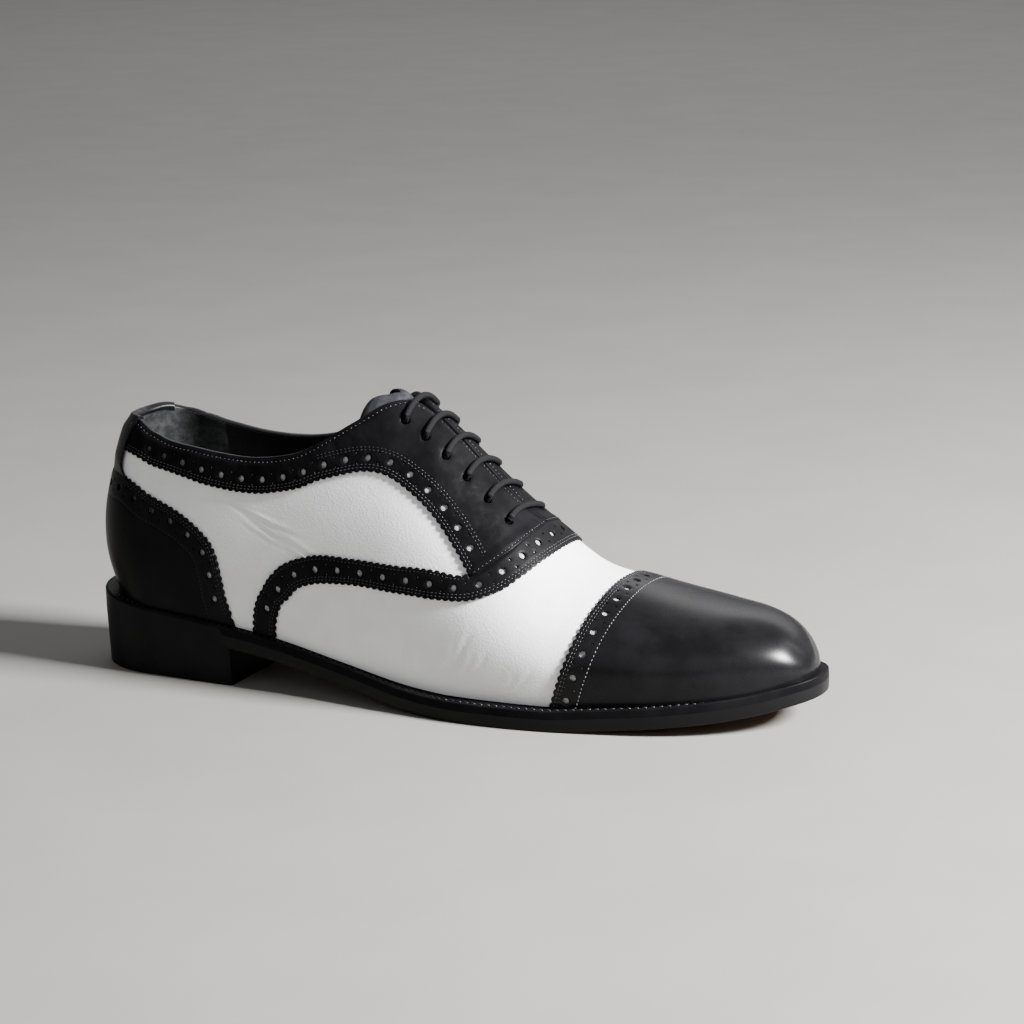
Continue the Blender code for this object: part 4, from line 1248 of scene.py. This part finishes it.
def makeTongue():
    t = np.linspace(0, 1, 70)[:, None]
    spread = np.linspace(-1, 1, 41)[None, :]
    around = tongue["half"] * spread * (1 - 0.35 * t ** 2)
    first = lookUp(tongueRows, tongue["half"] * np.abs(spread))
    station = first + (tongue["foot"] - first) * t
    edge = np.maximum(np.abs(spread) ** 8, np.exp(-t / 0.012))
    sink = tongue["roll"] * np.clip(1 - t / 0.05, 0, 1) ** 1.8
    level = -skin["wall"] - tongue["gap"] - sink
    top = lastOffset(station, around, level - tongue["thin"] * edge)
    bottom = lastOffset(station, around, level - tongue["thick"] + tongue["thin"] * edge)
    wear(closedSheet("tongueLeather", top, bottom), tongueSuede, "tongue_leather", "tongue")


makeTongue()
print("tongue ready")

# Sole: one inked edge all round, welt on top, leather tread below
sole = {"samples": 150, "edgeRound": 0.0006, "weltReach": 0.0140, "seamIn": 0.0001,
        "stitchIn": 0.0026, "stitchPitch": 0.0030, "stitchLength": 0.0022, "stitchRadius": 0.00032}


def outlineLoop(count):
    # lateral side from heel to toe, then back along the medial side
    x = last["shoeLength"] * (1 - np.cos(np.linspace(0, math.pi, count))) / 2
    lateral = np.stack([x, -soleHalf(x, -1)], -1)
    medial = np.stack([x, soleHalf(x, 1)], -1)
    return np.concatenate([lateral, medial[-2:0:-1]])


def loopNormal(loop):
    along = np.roll(loop, -1, 0) - np.roll(loop, 1, 0)
    return unit(np.stack([-along[:, 1], along[:, 0]], -1))


def ringedBody(name, loop, profile, closed=False, caps=None):
    # rings of the outline, each moved in and up by a row of the profile (inset, height)
    normal = loopNormal(loop)
    rings = []
    for inset, rise in profile:
        ring = loop + normal * inset
        rings.append(np.column_stack([ring[:, 0] - last["heelLength"] / 2, ring[:, 1],
                                      soleBottom(loop[:, 0]) + rise]))
    points = np.stack(rings)
    n = len(loop)
    quads = gridQuads(len(rings), n, True)
    if closed:
        one = np.arange(n)
        two = (one + 1) % n
        under = (len(rings) - 1) * n
        quads = np.concatenate([quads, np.stack([one + under, one, two, two + under], -1)])
    if caps:
        half = np.arange(1, n // 2)
        for k in caps:
            a = np.stack([half[:-1], half[1:], n - half[1:], n - half[:-1]], -1) + k * n
            first = np.array([[0, 1, n - 1, 0]]) + k * n
            final = np.array([[n // 2 - 1, n // 2, n // 2 + 1, n // 2 - 1]]) + k * n
            quads = np.concatenate([quads, a, first, final])
    return addMesh(name, points.reshape(-1, 3), quads, sharp=50)


def makeSole():
    loop = outlineLoop(sole["samples"])
    r = sole["edgeRound"]
    low, high = last["outsoleThick"], edgeHeight
    turns = np.linspace(0, math.pi / 2, 5)
    rounded = [(r - r * math.sin(t), high - r + r * math.cos(t)) for t in turns]
    profile = [(sole["weltReach"], low), (sole["weltReach"], high), (0.0075, high), (0.0045, high - 0.0001),
               (0.0026, high - 0.00035), (0.0014, high - 0.0001)] + rounded + [
        (-sole["seamIn"], low + 0.0004), (-sole["seamIn"], low)]
    wear(ringedBody("weltStrip", loop, profile, closed=True), edgeInk, "black_leather", "welt")
    bottom = [(r - r * math.sin(t), r - r * math.cos(t)) for t in turns]
    outer = [(-sole["seamIn"], low), (-sole["seamIn"], low * 0.6)] + bottom[::-1]
    tread = ringedBody("outsoleLeather", loop, outer, caps=(0, len(outer) - 1))
    wear(tread, soleLeather, "sole_leather", "outsole")
    ring = loop + loopNormal(loop) * sole["stitchIn"]
    ring = np.concatenate([ring, ring[:1]])
    path = np.column_stack([ring[:, 0] - last["heelLength"] / 2, ring[:, 1],
                            soleBottom(ring[:, 0]) + high - 0.00022])
    up = np.tile([0.0, 0.0, 1.0], (len(path), 1))
    points, quads = beads(path, up, sole["stitchPitch"], sole["stitchLength"], sole["stitchRadius"])
    wear(addMesh("weltStitches", points, quads, sharp=180), blackThread, "black_leather")


heel = {"taper": 0.0008, "breastRound": 0.0012, "samples": 60, "crowd": 1.7, "rows": 14, "cover": 0.0072,
        "proud": 0.00022, "ease": (0.0655, 0.0690)}


def makeHeel():
    # the outline's heel part closed by a breast with rounded corners, shrinking a little towards the floor
    length = last["heelLength"]
    corner = heel["breastRound"]
    x = np.minimum(length * np.linspace(0, 1, heel["samples"]) ** heel["crowd"], length - corner)
    t = np.linspace(0, math.pi / 2, 6)[1:]
    endX = length - corner + corner * np.sin(t)
    loops = []
    for side in (-1, 1):
        width = soleHalf(np.array([length - corner]), side)[0]
        y = np.append(soleHalf(x, side), width - corner + corner * np.cos(t))
        loops.append(np.stack([np.append(x, endX), side * y], -1))
    loop = np.concatenate([loops[0], loops[1][:0:-1]])
    # the leather lifts cover the sole's edge by a hair round the back
    around = 1 - smoothStep(loop[:, 0], *heel["ease"])
    loop = loop - loopNormal(loop) * (heel["proud"] * around)[:, None]
    rows = []
    tall = soleBottom(loop[:, 0]) + heel["cover"] * around
    plain = heel["cover"] * around / tall
    for k in np.linspace(0, 1, heel["rows"]):
        below = np.clip((k - plain) / (1 - plain), 0, 1)
        xx = heel["taper"] * below + loop[:, 0] * (1 - below * heel["taper"] / length)
        yy = loop[:, 1] * (1 - (heel["taper"] / last["heelRadius"]) * below)
        z = tall * (1 - k)
        rows.append(np.column_stack([xx - length / 2, yy, z]))
    points = np.stack(rows)
    n = len(loop)
    quads = gridQuads(len(rows), n, True)
    ids = np.arange(1, len(loops[0]))
    for k in (0, len(rows) - 1):
        pair = np.stack([ids[:-1], ids[1:], n - ids[1:], n - ids[:-1]], -1) + k * n
        first = np.array([[0, 1, n - 1, 0]]) + k * n
        quads = np.concatenate([quads, pair, first])
    wear(addMesh("heelStack", points.reshape(-1, 3), quads), heelInk, "heel_leather", "heel_block")


makeSole()
makeHeel()
print("sole and heel ready")

# Lace: six bars of round braid, each down through an eyelet at both ends
lace = {"radius": 0.00120, "sides": 16, "samples": 90, "lift": 0.00118, "sink": 0.0030,
        "braidPitch": 0.0022, "braidDepth": 0.00003, "holeSlack": 0.002, "taut": 60}


def makeLace():
    for number, (station, reach) in enumerate(eyeletPlaces(), 1):
        t = np.linspace(-1, 1, lace["samples"])
        spread = np.where(t < 0, reach, reach * eyelet["inner"]) - lace["holeSlack"]
        dive = smoothStep(np.abs(t), 0.88, 1.0)
        out = overlayTop + lace["lift"] - (lace["lift"] + overlayTop + lace["sink"]) * dive ** 1.3
        around = np.sign(t) * spread * np.minimum(np.abs(t) / 0.95, 1.0)
        place = lastOffset(station + eyelet["slant"] * smoothStep(t, -1.0, 0.4), around, out)
        for _ in range(lace["taut"]):  # pulled straight between its two eyelets
            place[8:-8] = 0.5 * place[8:-8] + 0.25 * (place[7:-9] + place[9:-7])
        for _ in range(4):
            place[1:-1] = 0.5 * place[1:-1] + 0.25 * (place[:-2] + place[2:])
        along = unit(np.gradient(place, axis=0))
        side = unit(np.cross(along, np.array([0.6, 0.0, 0.8])))
        up = np.cross(side, along)
        run = runAlong(place)
        turn = np.linspace(0, 2 * math.pi, lace["sides"] + 1)[:-1]
        twist = 2 * math.pi * run[:, None] / lace["braidPitch"]
        weave = np.cos(8 * turn[None] + twist) * np.cos(8 * turn[None] - twist)
        radius = lace["radius"] + lace["braidDepth"] * weave
        ring = place[:, None] + radius[..., None] * (np.cos(turn)[None, :, None] * side[:, None]
                                                     + np.sin(turn)[None, :, None] * up[:, None])
        n = lace["sides"]
        uv = np.stack([np.broadcast_to(turn[None] / (2 * math.pi), weave.shape),
                       np.broadcast_to(run[:, None] / lace["braidPitch"], weave.shape)], -1)
        quads = gridQuads(len(t), n, True)
        fan = np.array([[0, k, k + 1, 0] for k in range(1, n - 1)])
        quads = np.concatenate([quads, fan, fan[:, ::-1] + (len(t) - 1) * n])
        piece = addMesh("laceBar_%d" % number, ring.reshape(-1, 3), quads, uv, sharp=70)
        wear(piece, laceCotton, "lace_cotton", "lace_bar_%d" % number)


makeLace()
print("lace ready")

# The insole keeps its CAD shape and gets its sock leather
insoleNode = bpy.data.objects.get("insole")
if insoleNode is not None:
    insoleNode.data.materials.clear()
    insoleNode.data.materials.append(sockLeather.material)

meshes = [o.data for o in bpy.data.objects if o.type == "MESH"]
triangles = sum(len(mesh.loops) - 2 * len(mesh.polygons) for mesh in meshes)
print("triangles, with the floor and the hidden solids:", triangles)
